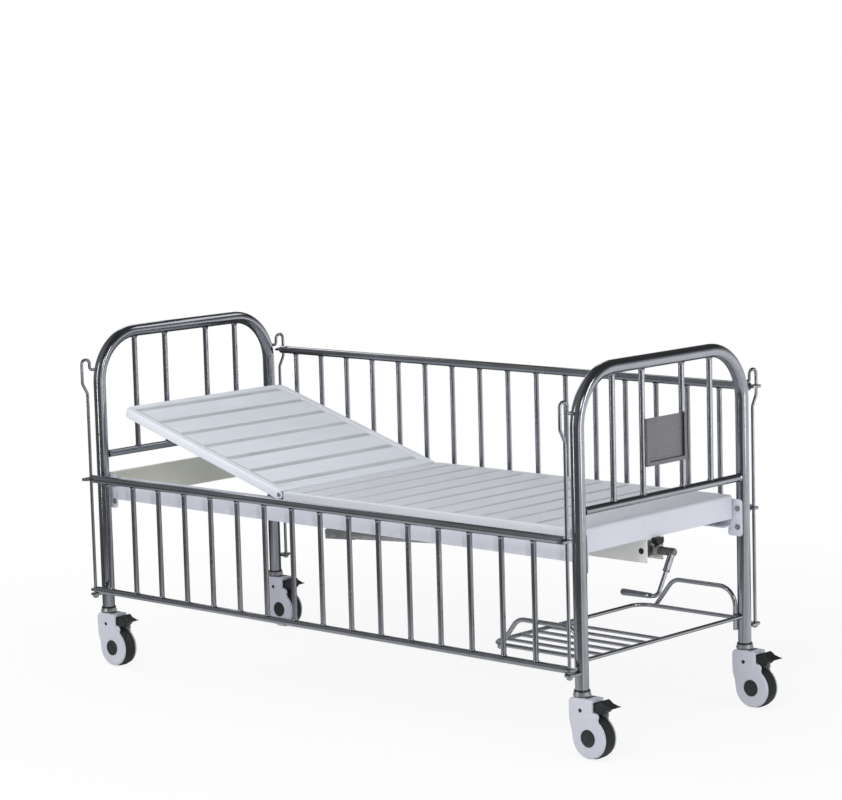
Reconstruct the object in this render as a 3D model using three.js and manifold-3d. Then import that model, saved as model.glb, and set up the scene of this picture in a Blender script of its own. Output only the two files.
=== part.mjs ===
// Pediatric hospital cot: two tubular end frames, drop sides on guide rods, a pressed deck whose
// backrest is raised by a crank and screw, a wire rack under the foot end and four braked casters.
// Millimetres, +Z up. The head end lies towards -X and the near side towards -Y.
import * as THREE from 'three';
import { mergeVertices } from 'three/addons/utils/BufferGeometryUtils.js';
import Module from 'manifold-3d';

const wasm = await Module();
wasm.setup();

// End frames
const legSpacingX = 1600;
const legSpacingY = 606;
const legDiameter = 32;
const legWall = 1.6;
const legBottomZ = 145;
const endTopZ = 864;
const endBendRadius = 125;
const crossRailZ = 552;
const crossRailDiameter = 19;
const endBalusterDiameter = 14;
const innerBalusterY = 73;
const outerBalusterY = 179;

// Card holder on the foot grille
const cardWidth = 146;
const cardHeight = 109;
const cardBottomZ = 625;
const cardSheet = 2;
const cardLip = 9;
const cardSlot = 3;

// Drop sides and their guide rods
const railOutboard = 42;
const railBottomZ = 204;
const railHeight = 290.5;
const railTravel = 267.5;
const railTopDiameter = 20;
const railBottomDiameter = 17;
const railBalusterDiameter = 13;
const railBalusters = 16;
const railHeadMargin = 57.3;
const railFootMargin = 88.9;
const eyeRadius = 12;
const eyeThickness = 6;
const eyeClearance = 0.8;
const guideDiameter = 8;
const guideKneeDrop = 47;
const guideBulge = 15.5;
const guideBulgeRise = 27;
const guideLoopRise = 41;
const guideReturn = 10.5;
const guideReturnRise = 14;
const guideKneeBend = 20;
const guideTopBend = 12;
const guideReturnBend = 8;
const guideTail = 8;
const footPlateThickness = 6;

// Bed frame of folded sheet
const deckTopZ = 510;
const panelSkirt = 22;
const sheet = 3;
const frameEndSetback = 15;
const sideMemberDrop = 76;
const sideFlange = 30;
const headMemberDrop = 7;
const headFlange = 18;
const apronHeight = 57;
const apronFlange = 27;
const foldRadius = 7;
const bracketThickness = 3.4;
const bracketWidth = 40;
const bracketInboard = 30;
const bracketHeight = 88;
const bracketDrop = 10;
const hingeBeamWidth = 36;
const hingeBeamHeight = 14;
const hingeBeamSetback = 18;

// Pressed deck and backrest
const hingeX = -168;
const hingeDrop = 10;
const hingeGap = 4;
const hingeEarRadius = 8;
const hingeRelief = 0.5;
const hingePinDiameter = 7;
const hingeLugThickness = 5;
const hingeLugRadius = 6.5;
const hingeLugInset = 10;
const backrestLength = 590;
const backrestRestDegrees = 16.5;
const backrestCorner = 26;
const deckCorner = 8;
const grooveWidth = 13;
const grooveDepth = 1.6;
const grooveEndMargin = 34;
const deckGrooves = 10;
const deckHeadMargin = 58;
const deckFootMargin = 107.7;
const backrestGrooves = 7;
const backrestFootMargin = 45;
const backrestHeadMargin = 71;

// Lift lever, push tube and screw
const mechanismY = -14;
const stiffenerWidth = 40;
const stiffenerHeight = 14;
const stiffenerStart = 30;
const stiffenerLength = 390;
const leverThickness = 8;
const leverEyeX = -49;
const leverEyeZ = -165;
const leverEyeRadius = 12;
const leverRootStart = 26;
const leverRootLength = 120;
const forkReach = 82;
const forkSideClearance = 1.2;
const forkProng = 5;
const forkHeight = 24;
const forkBase = 8;
const pushTubeDiameter = 24;
const pushTubeBore = 17;
const nutLength = 26;
const nutDiameter = 34;
const nutFromTrunnion = 230;
const screwDiameter = 14;
const screwLength = 430;
const screwCollarDiameter = 24;
const screwCollarLength = 6;
const screwClearance = 0.4;
const thrustBlockLength = 20;
const thrustBlockWidth = 30;
const trunnionDiameter = 9;
const trunnionSetback = 16;
const trunnionClearance = 0.5;

// Crank and its bearing
const crankDrop = 30;
const channelWidth = 56;
const channelDepth = 27;
const channelLength = 215;
const bearingGap = 1.5;
const bearingLength = 14;
const bearingDiameter = 28;
const bearingBlockWidth = 26;
const bearingBlockChamfer = 5;
const crankNeckDiameter = 20;
const crankHubDiameter = 19;
const crankReach = 57;
const crankSwingDegrees = -31;
const crankArmLength = 110;
const sleeveDiameter = 16;
const sleeveLength = 48;
const handleRodDiameter = 10;
const handleInsertion = 26;
const handleBend = 14;
const gripLength = 84;
const gripDiameter = 16;
const gripClearance = 0.4;
const tongueThickness = 4;
const tongueWidth = 11;
const tongueReach = 26;
const tonguePlay = 2.6;
const tongueSlotDepth = 11;

// Wire rack under the foot end
const rackZ = 217;
const rackRodDiameter = 10;
const rackSlatDiameter = 8;
const rackDepth = 295;
const rackHoopGap = 1;
const rackCornerRadius = 40;
const rackSlats = 5;
const rackSlatPitch = 52;
const hoopDiameter = 11;
const hoopSetback = 51;
const hoopRise = 69;
const hoopDrop = 33;
const hoopBend = 45;
const hoopSlope = 45;
const hoopOverhang = 13.5;
const hoopEntryBend = 27;

// Casters
const wheelRadius = 50;
const wheelWidth = 31;
const wheelTrail = 33;
const treadRound = 5;
const stemPlugLength = 35;
const stemCollarDiameter = 38;
const stemCollarHeight = 6;
const kingpinDiameter = 12;
const kingpinLength = 22;
const housingWidth = 44;
const housingTopZ = 138;
const housingFront = 23;
const housingRear = 45;
const housingDisc = 47;
const housingShoulderZ = 96;
const housingRearZ = 108;
const housingWrapDegrees = 54;
const pocketClearance = 1;
const axleDiameter = 8;
const axleClearance = 0.4;
const axleCapDiameter = 40;
const axleCapThickness = 3.5;
const pedalPivotX = 36;
const pedalPivotZ = 119;
const pedalPinDiameter = 6;
const pedalReach = 101;
const pedalWidth = 29;
const pedalRoof = 7;
const pedalPlay = 3;
const pedalHeel = 6;
const pedalTabLength = 24;
const pedalTabDrop = 1;
const pedalTabRise = 10;
const pedalTipRise = 6;
const pedalCrown = 14;
const pedalCrownRise = 9;

// Fits and facets
const seat = 0.3;
const tubeSides = 16;
const rodSides = 10;
const thinSides = 8;
const boreSides = 12;
const roundSides = 24;
const nutSides = 6;
const curveFacets = 6;
const planFacets = 4;
const wideBend = 100;
const wideBendSteps = 8;
const tightBendSteps = 4;
const weldTolerance = 1e-4;
const roundEye = 1e-3;

// Places that follow from the sizes above
const halfX = legSpacingX / 2;
const halfY = legSpacingY / 2;
const legRadius = legDiameter / 2;
const railY = halfY + railOutboard;
const raisedTopZ = railBottomZ + railHeight + railTravel;
const guideKneeZ = raisedTopZ - guideKneeDrop;
const guideTopZ = raisedTopZ + guideLoopRise;
const guideReturnZ = raisedTopZ + guideReturnRise;
const legInnerY = halfY - legRadius;
const frameHalfWidth = legInnerY - bracketThickness - 2 * seat;
const frameBottomZ = deckTopZ - sideMemberDrop;
const headWebX = halfX - frameEndSetback;
const headTopZ = deckTopZ - headMemberDrop;
const apronFaceX = halfX - frameEndSetback;
const apronBottomZ = deckTopZ - apronHeight;
const bracketTopZ = deckTopZ - bracketDrop;
const bracketBottomZ = bracketTopZ - bracketHeight;
const crankZ = apronBottomZ - crankDrop;
const channelBottomZ = crankZ - channelDepth;
const channelFootX = apronFaceX - seat;
const bearingX = apronFaceX + bearingGap;
const crankHubEndX = apronFaceX + crankReach;
const trunnionX = channelFootX - trunnionSetback;
const rackOuterX = halfX;
const rackInnerX = halfX - rackDepth;
const hoopY = legInnerY;
const rackSideY = hoopY - (hoopDiameter + rackRodDiameter) / 2 - rackHoopGap;
const hoopStartX = rackInnerX + hoopSetback;
const hoopTopZ = rackZ + hoopRise;
const hoopFootZ = rackZ - hoopDrop;
const corners = [
  { name: 'head_near', x: -1, y: -1 },
  { name: 'head_far', x: -1, y: 1 },
  { name: 'foot_near', x: 1, y: -1 },
  { name: 'foot_far', x: 1, y: 1 },
];

const v3 = (x, y, z) => new THREE.Vector3(x, y, z);
const radians = THREE.MathUtils.degToRad;

// A closed geometry becomes a solid for joining and cutting, and a solid becomes a geometry again.
function solid(geometry) {
  const bare = geometry.clone();
  bare.deleteAttribute('normal');
  bare.deleteAttribute('uv');
  const welded = mergeVertices(bare, weldTolerance);
  const vertProperties = new Float32Array(welded.attributes.position.array);
  const triVerts = new Uint32Array(welded.index.array);
  return new wasm.Manifold(new wasm.Mesh({ numProp: 3, vertProperties, triVerts }));
}

function geometryOf(manifold) {
  const { vertProperties, triVerts } = manifold.getMesh();
  const geometry = new THREE.BufferGeometry();
  geometry.setAttribute('position', new THREE.BufferAttribute(new Float32Array(vertProperties), 3));
  geometry.setIndex(new THREE.BufferAttribute(new Uint32Array(triVerts), 1));
  geometry.computeVertexNormals();
  return geometry;
}

function join(...geometries) {
  return geometries.map(solid).reduce((whole, piece) => whole.add(piece));
}

function cut(whole, ...geometries) {
  return geometries.map(solid).reduce((left, piece) => left.subtract(piece), whole);
}

// Finishes of the photographed cot
const finishes = {
  steel: { color: 0xa9abb2, roughness: 0.16, metalness: 1 },
  brushed: { color: 0xb9b9bd, roughness: 0.4, metalness: 1 },
  paint: { color: 0xcdd0dc, roughness: 0.45, metalness: 0 },
  zinc: { color: 0x8f9297, roughness: 0.45, metalness: 0.9 },
  plastic: { color: 0xd6d7e2, roughness: 0.5, metalness: 0 },
  black: { color: 0x1c1e22, roughness: 0.55, metalness: 0 },
  tyre: { color: 0x25282b, roughness: 0.8, metalness: 0 },
};

function add(parent, name, shape, finish) {
  const geometry = shape.isBufferGeometry ? shape : geometryOf(shape);
  const mesh = new THREE.Mesh(geometry, new THREE.MeshStandardMaterial(finishes[finish]));
  mesh.name = name;
  parent.add(mesh);
  return mesh;
}

// Places spread evenly from the first to the last
function spread(first, last, count) {
  return Array.from({ length: count }, (_, k) => first + ((last - first) * k) / (count - 1));
}

// A round bar between two points
function bar(start, end, diameter, sides = rodSides) {
  const along = v3(0, 0, 0).subVectors(end, start);
  const geometry = new THREE.CylinderGeometry(diameter / 2, diameter / 2, along.length(), sides);
  const turn = new THREE.Quaternion().setFromUnitVectors(v3(0, 1, 0), along.clone().normalize());
  geometry.applyQuaternion(turn);
  const middle = start.clone().add(end).multiplyScalar(0.5);
  return geometry.translate(middle.x, middle.y, middle.z);
}

// A block from its lowest to its highest corner
function block(low, high) {
  const size = high.clone().sub(low);
  const middle = low.clone().add(high).multiplyScalar(0.5);
  return new THREE.BoxGeometry(size.x, size.y, size.z).translate(middle.x, middle.y, middle.z);
}

// Straight runs between corner points, with a round bend at each inner corner
class BentPath extends THREE.Curve {
  constructor(points, bends) {
    super();
    this.stations = [];
    this.tangents = [];
    const runs = points.slice(1).map((point, i) => point.clone().sub(points[i]).normalize());
    this.place(points[0], runs[0]);
    for (let i = 1; i < points.length - 1; i += 1) {
      this.bend(points[i], runs[i - 1], runs[i], bends[i - 1]);
    }
    this.place(points[points.length - 1], runs[runs.length - 1]);
  }

  place(point, tangent) {
    this.stations.push(point.clone());
    this.tangents.push(tangent.clone());
  }

  bend(point, before, after, radius) {
    const angle = before.angleTo(after);
    const inward = after.clone().addScaledVector(before, -Math.cos(angle)).normalize();
    const start = point.clone().addScaledVector(before, -radius * Math.tan(angle / 2));
    const steps = radius < wideBend ? tightBendSteps : wideBendSteps;
    for (let k = 0; k <= steps; k += 1) {
      const turn = (angle * k) / steps;
      const station = start.clone().addScaledVector(before, radius * Math.sin(turn));
      station.addScaledVector(inward, radius * (1 - Math.cos(turn)));
      const tangent = before.clone().multiplyScalar(Math.cos(turn));
      this.place(station, tangent.addScaledVector(inward, Math.sin(turn)));
    }
  }

  getSpacedPoints() {
    return this.stations;
  }

  getTangentAt(share) {
    return this.tangents[Math.round(share * (this.tangents.length - 1))].clone();
  }
}

function circlePoints(radius, sides) {
  const points = [];
  for (let k = 0; k < sides; k += 1) {
    const angle = ((k + 0.5) * 2 * Math.PI) / sides;
    points.push(new THREE.Vector2(radius * Math.cos(angle), radius * Math.sin(angle)));
  }
  return points;
}

// A rod, or with a bore a tube, carried along a bent path
function bent(points, bends, diameter, sides, bore = 0) {
  const path = new BentPath(points, bends);
  const section = new THREE.Shape(circlePoints(diameter / 2, sides));
  if (bore > 0) section.holes.push(new THREE.Path(circlePoints(bore / 2, sides)));
  return new THREE.ExtrudeGeometry(section, { steps: path.stations.length - 1, extrudePath: path });
}

// Outlines carried straight along an axis: (y, z) along X, (x, z) along Y and (x, y) along Z
function straight(shape, depth, curveSegments) {
  return new THREE.ExtrudeGeometry(shape, { depth, bevelEnabled: false, curveSegments });
}

function alongX(shape, from, to) {
  const geometry = straight(shape, to - from, curveFacets);
  geometry.applyMatrix4(new THREE.Matrix4().makeBasis(v3(0, 1, 0), v3(0, 0, 1), v3(1, 0, 0)));
  return geometry.translate(from, 0, 0);
}

function alongY(shape, from, to) {
  const geometry = straight(shape, to - from, curveFacets);
  geometry.applyMatrix4(new THREE.Matrix4().makeBasis(v3(1, 0, 0), v3(0, 0, 1), v3(0, -1, 0)));
  return geometry.translate(0, to, 0);
}

function alongZ(shape, from, to) {
  return straight(shape, to - from, planFacets).translate(0, 0, from);
}

function outline(...points) {
  return new THREE.Shape(points.map(([x, y]) => new THREE.Vector2(x, y)));
}

// A stadium from one round end to the other, along the outline's first axis
function stadium(startX, endX, y, radius) {
  const shape = new THREE.Shape();
  shape.absarc(startX, y, radius, Math.PI / 2, (3 * Math.PI) / 2, false);
  shape.absarc(endX, y, radius, -Math.PI / 2, Math.PI / 2, false);
  return shape;
}

function roundedRectangle(xMin, xMax, yMin, yMax, minRadius, maxRadius) {
  const shape = new THREE.Shape();
  shape.absarc(xMin + minRadius, yMin + minRadius, minRadius, Math.PI, 1.5 * Math.PI, false);
  shape.absarc(xMax - maxRadius, yMin + maxRadius, maxRadius, 1.5 * Math.PI, 2 * Math.PI, false);
  shape.absarc(xMax - maxRadius, yMax - maxRadius, maxRadius, 0, 0.5 * Math.PI, false);
  shape.absarc(xMin + minRadius, yMax - minRadius, minRadius, 0.5 * Math.PI, Math.PI, false);
  return shape;
}

const cot = new THREE.Group();

// End frames: an inverted U of tube with a welded grille of a cross rail and four balusters
function endPath(x) {
  return [
    v3(x, -halfY, legBottomZ),
    v3(x, -halfY, endTopZ),
    v3(x, halfY, endTopZ),
    v3(x, halfY, legBottomZ),
  ];
}

const endBends = [endBendRadius, endBendRadius];

// The room an end tube takes up, for pieces that are fitted against it
function endTubeRoom(x) {
  return bent(endPath(x), endBends, legDiameter + 2 * seat, tubeSides);
}

function endFrame(name, x) {
  const tube = bent(endPath(x), endBends, legDiameter, tubeSides, legDiameter - 2 * legWall);
  add(cot, `${name}_end_tube`, tube, 'steel');
  const balusterYs = [-outerBalusterY, -innerBalusterY, innerBalusterY, outerBalusterY];
  const balusters = balusterYs.map((y) => (
    bar(v3(x, y, crossRailZ), v3(x, y, endTopZ), endBalusterDiameter, rodSides)
  ));
  const rail = bar(v3(x, -halfY, crossRailZ), v3(x, halfY, crossRailZ), crossRailDiameter, rodSides);
  add(cot, `${name}_grille`, cut(join(rail, ...balusters), endTubeRoom(x)), 'steel');
}

endFrame('head', -halfX);
endFrame('foot', halfX);

// Card holder: a plate on the inner balusters with a folded lip at the bottom and both sides
function cardHolder() {
  const backX = halfX + endBalusterDiameter / 2 + seat;
  const frontX = backX + 2 * cardSheet + cardSlot;
  const halfWidth = cardWidth / 2;
  const topZ = cardBottomZ + cardHeight;
  const body = block(v3(backX, -halfWidth, cardBottomZ), v3(frontX, halfWidth, topZ));
  const slot = block(
    v3(backX + cardSheet, -halfWidth + cardSheet, cardBottomZ + cardSheet),
    v3(frontX - cardSheet, halfWidth - cardSheet, topZ + cardSheet),
  );
  const windowCut = block(
    v3(frontX - 2 * cardSheet, -halfWidth + cardLip, cardBottomZ + cardLip),
    v3(frontX + cardSheet, halfWidth - cardLip, topZ + cardSheet),
  );
  add(cot, 'card_holder', cut(join(body), slot, windowCut), 'brushed');
}

cardHolder();

// Bed frame: two channel side members, a head channel, a foot apron and a beam under the hinge
const memberTopZ = deckTopZ - panelSkirt - seat;

function sideMember(name, side) {
  const outer = side * frameHalfWidth;
  const web = side * (frameHalfWidth - sheet);
  const lip = side * (frameHalfWidth - sideFlange);
  const channel = outline(
    [outer, frameBottomZ],
    [outer, memberTopZ],
    [lip, memberTopZ],
    [lip, memberTopZ - sheet],
    [web, memberTopZ - sheet],
    [web, frameBottomZ + sheet],
    [lip, frameBottomZ + sheet],
    [lip, frameBottomZ],
  );
  add(cot, `${name}_side_member`, alongX(channel, seat - headWebX, apronFaceX - sheet - seat), 'paint');
}

sideMember('near', -1);
sideMember('far', 1);

function headMember() {
  const back = -headWebX - headFlange;
  const channel = outline(
    [-headWebX, frameBottomZ],
    [-headWebX, headTopZ],
    [back, headTopZ],
    [back, headTopZ - sheet],
    [-headWebX - sheet, headTopZ - sheet],
    [-headWebX - sheet, frameBottomZ + sheet],
    [back, frameBottomZ + sheet],
    [back, frameBottomZ],
  );
  const half = frameHalfWidth - seat;
  add(cot, 'head_cross_member', alongY(channel, -half, half), 'paint');
}

headMember();

function footApron() {
  const back = apronFaceX - apronFlange;
  const profile = new THREE.Shape();
  profile.moveTo(back, apronBottomZ);
  profile.lineTo(apronFaceX, apronBottomZ);
  profile.absarc(apronFaceX - foldRadius, deckTopZ - foldRadius, foldRadius, 0, Math.PI / 2, false);
  profile.lineTo(back, deckTopZ);
  profile.lineTo(back, deckTopZ - sheet);
  const innerRadius = foldRadius - sheet;
  const foldX = apronFaceX - foldRadius;
  profile.absarc(foldX, deckTopZ - foldRadius, innerRadius, Math.PI / 2, 0, true);
  profile.lineTo(apronFaceX - sheet, apronBottomZ + sheet);
  profile.lineTo(back, apronBottomZ + sheet);
  const half = frameHalfWidth - sheet - seat;
  add(cot, 'foot_apron', alongY(profile, -half, half), 'paint');
}

footApron();

function hingeBeam() {
  const half = frameHalfWidth - sheet - seat;
  const topZ = memberTopZ - sheet - seat;
  const startX = hingeX + hingeBeamSetback;
  add(cot, 'hinge_beam', block(
    v3(startX, -half, topZ - hingeBeamHeight),
    v3(startX + hingeBeamWidth, half, topZ),
  ), 'paint');
}

hingeBeam();

// Corner plates tie the side members to the inner faces of the legs
function cornerBracket(corner) {
  const outerY = legInnerY - seat;
  const innerX = halfX - bracketInboard;
  const outerX = innerX + bracketWidth;
  const shape = roundedRectangle(innerX, outerX, bracketBottomZ, bracketTopZ, foldRadius, foldRadius);
  const plate = alongY(shape, outerY - bracketThickness, outerY);
  if (corner.x < 0) plate.rotateZ(Math.PI);
  if (corner.x * corner.y < 0) plate.translate(0, -corner.x * (2 * outerY - bracketThickness), 0);
  add(cot, `${corner.name}_corner_bracket`, plate, 'paint');
}

corners.forEach(cornerBracket);

// Guide rods: a foot plate on the leg, a straight run, an outward bulge and a loop back to the leg
const footPlateTopZ = railBottomZ - railBottomDiameter / 2 - seat;

function guideRod(corner) {
  const x = corner.x * halfX;
  const at = (outboard, z) => v3(x, corner.y * (railY + outboard), z);
  const weld = seat - (railOutboard - legRadius);
  const footZ = footPlateTopZ - footPlateThickness;
  const points = [
    at(0, footZ - guideTail),
    at(0, guideKneeZ),
    at(guideBulge, guideKneeZ + guideBulgeRise),
    at(guideBulge, guideTopZ),
    at(-guideReturn, guideTopZ),
    at(-guideReturn, guideReturnZ),
    at(weld, guideReturnZ),
  ];
  const bends = [guideKneeBend, guideKneeBend, guideTopBend, guideTopBend, guideReturnBend];
  const rod = bent(points, bends, guideDiameter, thinSides);
  const plateShape = stadium(-railY, -halfY, 0, eyeRadius);
  const turn = (-corner.y * Math.PI) / 2;
  const plate = alongZ(plateShape, footZ, footPlateTopZ).rotateZ(turn).translate(x, 0, 0);
  const behindLeg = block(
    v3(x - 2 * eyeRadius, -halfY - legRadius, footZ - seat),
    v3(x + 2 * eyeRadius, halfY + legRadius, footPlateTopZ + seat),
  );
  const seatedPlate = cut(join(plate), endTubeRoom(x), behindLeg);
  add(cot, `${corner.name}_guide_rod`, join(rod).add(seatedPlate), 'steel');
}

corners.forEach(guideRod);

// A drop side: two bars, sixteen balusters and an eye at each end of each bar. The upper eyes are slots,
// so that they clear the rods' bulge when the side is up.
function sideRail(name, side, lift) {
  const y = side * railY;
  const topZ = railBottomZ + railHeight;
  const eyeBore = guideDiameter / 2 + eyeClearance;
  const barEnd = halfX - (eyeRadius + eyeBore) / 2;
  const pieces = [
    bar(v3(-barEnd, y, topZ), v3(barEnd, y, topZ), railTopDiameter, rodSides),
    bar(v3(-barEnd, y, railBottomZ), v3(barEnd, y, railBottomZ), railBottomDiameter, rodSides),
  ];
  for (const x of spread(railHeadMargin - barEnd, barEnd - railFootMargin, railBalusters)) {
    pieces.push(bar(v3(x, y, railBottomZ), v3(x, y, topZ), railBalusterDiameter, thinSides));
  }
  const bores = [];
  for (const end of [-1, 1]) {
    for (const [z, bulge] of [[topZ, guideBulge], [railBottomZ, roundEye]]) {
      const eye = (radius, half) => alongZ(stadium(0, bulge, 0, radius), z - half, z + half)
        .rotateZ(side * Math.PI / 2).translate(end * halfX, y, 0);
      pieces.push(eye(eyeRadius, eyeThickness / 2));
      bores.push(eye(eyeBore, eyeThickness));
    }
  }
  const rail = add(cot, `${name}_side_rail`, cut(join(...pieces), ...bores), 'steel');
  rail.position.z = lift;
}

sideRail('near', -1, 0);
sideRail('far', 1, railTravel);

// A pressed panel: a sheet with a folded skirt, rounded top edge and transverse grooves
function pressedPanel(xMin, xMax, topZ, headCorner, footCorner, grooveXs) {
  const bevel = foldRadius - sheet;
  const half = frameHalfWidth;
  const plan = roundedRectangle(xMin, xMax, -half, half, headCorner, footCorner);
  const body = new THREE.ExtrudeGeometry(plan, {
    depth: panelSkirt,
    bevelThickness: bevel,
    bevelSize: bevel,
    bevelOffset: -bevel,
    bevelSegments: 2,
    curveSegments: planFacets,
  });
  body.translate(0, 0, topZ - panelSkirt - bevel);
  const inner = roundedRectangle(
    xMin + sheet,
    xMax - sheet,
    sheet - half,
    half - sheet,
    headCorner - sheet,
    footCorner - sheet,
  );
  const hollow = alongZ(inner, topZ - 2 * panelSkirt, topZ - sheet);
  const below = block(
    v3(xMin - sheet, -half - sheet, topZ - 2 * panelSkirt),
    v3(xMax + sheet, half + sheet, topZ - panelSkirt),
  );
  const reach = half - grooveEndMargin;
  const grooves = grooveXs.map((x) => (
    alongZ(stadium(-reach, reach, 0, grooveWidth / 2), topZ - grooveDepth, topZ + grooveDepth)
      .rotateZ(Math.PI / 2).translate(x, 0, 0)
  ));
  return cut(join(body), hollow, below, ...grooves);
}

const deckHeadX = hingeX + hingeEarRadius + hingeRelief;
const deckFootX = apronFaceX - apronFlange - seat;
const deckGrooveXs = spread(deckHeadX + deckHeadMargin, deckFootX - deckFootMargin, deckGrooves);
const fixedDeck = pressedPanel(deckHeadX, deckFootX, deckTopZ, deckCorner, deckCorner, deckGrooveXs);
add(cot, 'fixed_deck', fixedDeck, 'paint');

// Hinge brackets: a lug on each side member with the pin that carries the backrest
const hingeZ = deckTopZ - hingeDrop;

function hingeBracket(name, side) {
  const outerY = frameHalfWidth - hingeLugInset;
  const lug = new THREE.Shape();
  lug.moveTo(hingeX - hingeLugRadius, memberTopZ + seat);
  lug.lineTo(hingeX + hingeLugRadius, memberTopZ + seat);
  lug.absarc(hingeX, hingeZ, hingeLugRadius, 0, Math.PI, false);
  const lugY = [side * outerY, side * (outerY - hingeLugThickness)].sort((a, b) => a - b);
  const pinInner = v3(hingeX, side * (outerY - 2 * hingeLugThickness), hingeZ);
  const pinOuter = v3(hingeX, side * (frameHalfWidth + sheet), hingeZ);
  const pin = bar(pinInner, pinOuter, hingePinDiameter, tubeSides);
  add(cot, `hinge_bracket_${name}`, join(alongY(lug, ...lugY), pin), 'zinc');
}

hingeBracket('near', -1);
hingeBracket('far', 1);

// Backrest, modelled flat about its hinge axis and turned to its raised rest
const backrest = new THREE.Group();
backrest.position.set(hingeX, 0, hingeZ);
backrest.rotation.y = radians(backrestRestDegrees);
cot.add(backrest);

function backrestPanel() {
  const footEdge = -hingeGap;
  const headEdge = footEdge - backrestLength;
  const grooveXs = spread(headEdge + backrestHeadMargin, footEdge - backrestFootMargin, backrestGrooves);
  const panel = pressedPanel(headEdge, footEdge, hingeDrop, backrestCorner, deckCorner, grooveXs);
  const inner = frameHalfWidth - sheet;
  const openFoot = block(
    v3(footEdge - 4 * deckCorner, -inner, hingeDrop - 2 * panelSkirt),
    v3(footEdge + sheet, inner, hingeDrop - sheet),
  );
  const ears = [-1, 1].map((side) => (
    bar(v3(0, side * inner, 0), v3(0, side * frameHalfWidth, 0), 2 * hingeEarRadius, tubeSides)
  ));
  const webs = [-1, 1].map((side) => block(
    v3(-2 * hingeEarRadius, side < 0 ? -frameHalfWidth : inner, -hingeEarRadius),
    v3(0, side < 0 ? -inner : frameHalfWidth, hingeDrop - sheet),
  ));
  const bore = bar(
    v3(0, -frameHalfWidth - sheet, 0),
    v3(0, frameHalfWidth + sheet, 0),
    hingePinDiameter + 2 * eyeClearance,
    tubeSides,
  );
  const whole = panel.add(join(...ears, ...webs));
  add(backrest, 'backrest_panel', cut(whole, openFoot, bore), 'paint');
}

backrestPanel();

const stiffenerTopZ = hingeDrop - sheet - seat;

function liftStiffener() {
  const half = stiffenerWidth / 2;
  const low = stiffenerTopZ - stiffenerHeight;
  const channel = outline(
    [mechanismY - half, low],
    [mechanismY - half, stiffenerTopZ],
    [mechanismY + half, stiffenerTopZ],
    [mechanismY + half, low],
    [mechanismY + half - sheet, low],
    [mechanismY + half - sheet, stiffenerTopZ - sheet],
    [mechanismY - half + sheet, stiffenerTopZ - sheet],
    [mechanismY - half + sheet, low],
  );
  const headEnd = -stiffenerStart - stiffenerLength;
  add(backrest, 'backrest_stiffener', alongX(channel, headEnd, -stiffenerStart), 'paint');
}

liftStiffener();

function liftLever() {
  const rootZ = stiffenerTopZ - sheet - seat;
  const plate = new THREE.Shape();
  plate.moveTo(-leverRootStart, rootZ);
  plate.lineTo(-leverRootStart - leverRootLength, rootZ);
  plate.absarc(leverEyeX, leverEyeZ, leverEyeRadius, Math.PI, 2 * Math.PI, false);
  const half = leverThickness / 2;
  add(backrest, 'lift_lever', alongY(plate, mechanismY - half, mechanismY + half), 'zinc');
}

liftLever();

// Screw drive: it tilts on a trunnion and runs along its own -X from there to the lever's eye
const leverEye = v3(leverEyeX, 0, leverEyeZ).applyAxisAngle(v3(0, 1, 0), radians(backrestRestDegrees));
const eyeFromTrunnion = v3(hingeX + leverEye.x - trunnionX, 0, hingeZ + leverEye.z - crankZ);
const driveLength = eyeFromTrunnion.length();
const drive = new THREE.Group();
drive.position.set(trunnionX, mechanismY, crankZ);
drive.rotation.y = Math.atan2(eyeFromTrunnion.z, -eyeFromTrunnion.x);
cot.add(drive);

function thrustBlock() {
  const halfLength = thrustBlockLength / 2;
  const halfWidth = thrustBlockWidth / 2;
  const body = block(v3(-halfLength, -halfWidth, -halfWidth), v3(halfLength, halfWidth, halfWidth));
  const trunnionHalf = channelWidth / 2;
  const trunnion = bar(v3(0, -trunnionHalf, 0), v3(0, trunnionHalf, 0), trunnionDiameter, tubeSides);
  const boreDiameter = screwDiameter + 2 * screwClearance;
  const bore = bar(v3(-2 * halfLength, 0, 0), v3(2 * halfLength, 0, 0), boreDiameter, tubeSides);
  add(drive, 'thrust_block', cut(join(body, trunnion), bore), 'zinc');
}

thrustBlock();

const screwSpin = new THREE.Group();
screwSpin.rotation.x = radians(crankSwingDegrees);
drive.add(screwSpin);

function driveScrew() {
  const collarX = -thrustBlockLength / 2 - seat;
  const shank = bar(v3(thrustBlockLength / 2, 0, 0), v3(-screwLength, 0, 0), screwDiameter, tubeSides);
  const collarEnd = collarX - screwCollarLength;
  const collar = bar(v3(collarX, 0, 0), v3(collarEnd, 0, 0), screwCollarDiameter, tubeSides);
  const tongue = block(
    v3(0, -tongueThickness / 2, -tongueWidth / 2),
    v3(tongueReach, tongueThickness / 2, tongueWidth / 2),
  );
  add(screwSpin, 'drive_screw', join(shank, collar, tongue), 'zinc');
}

driveScrew();

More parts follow.
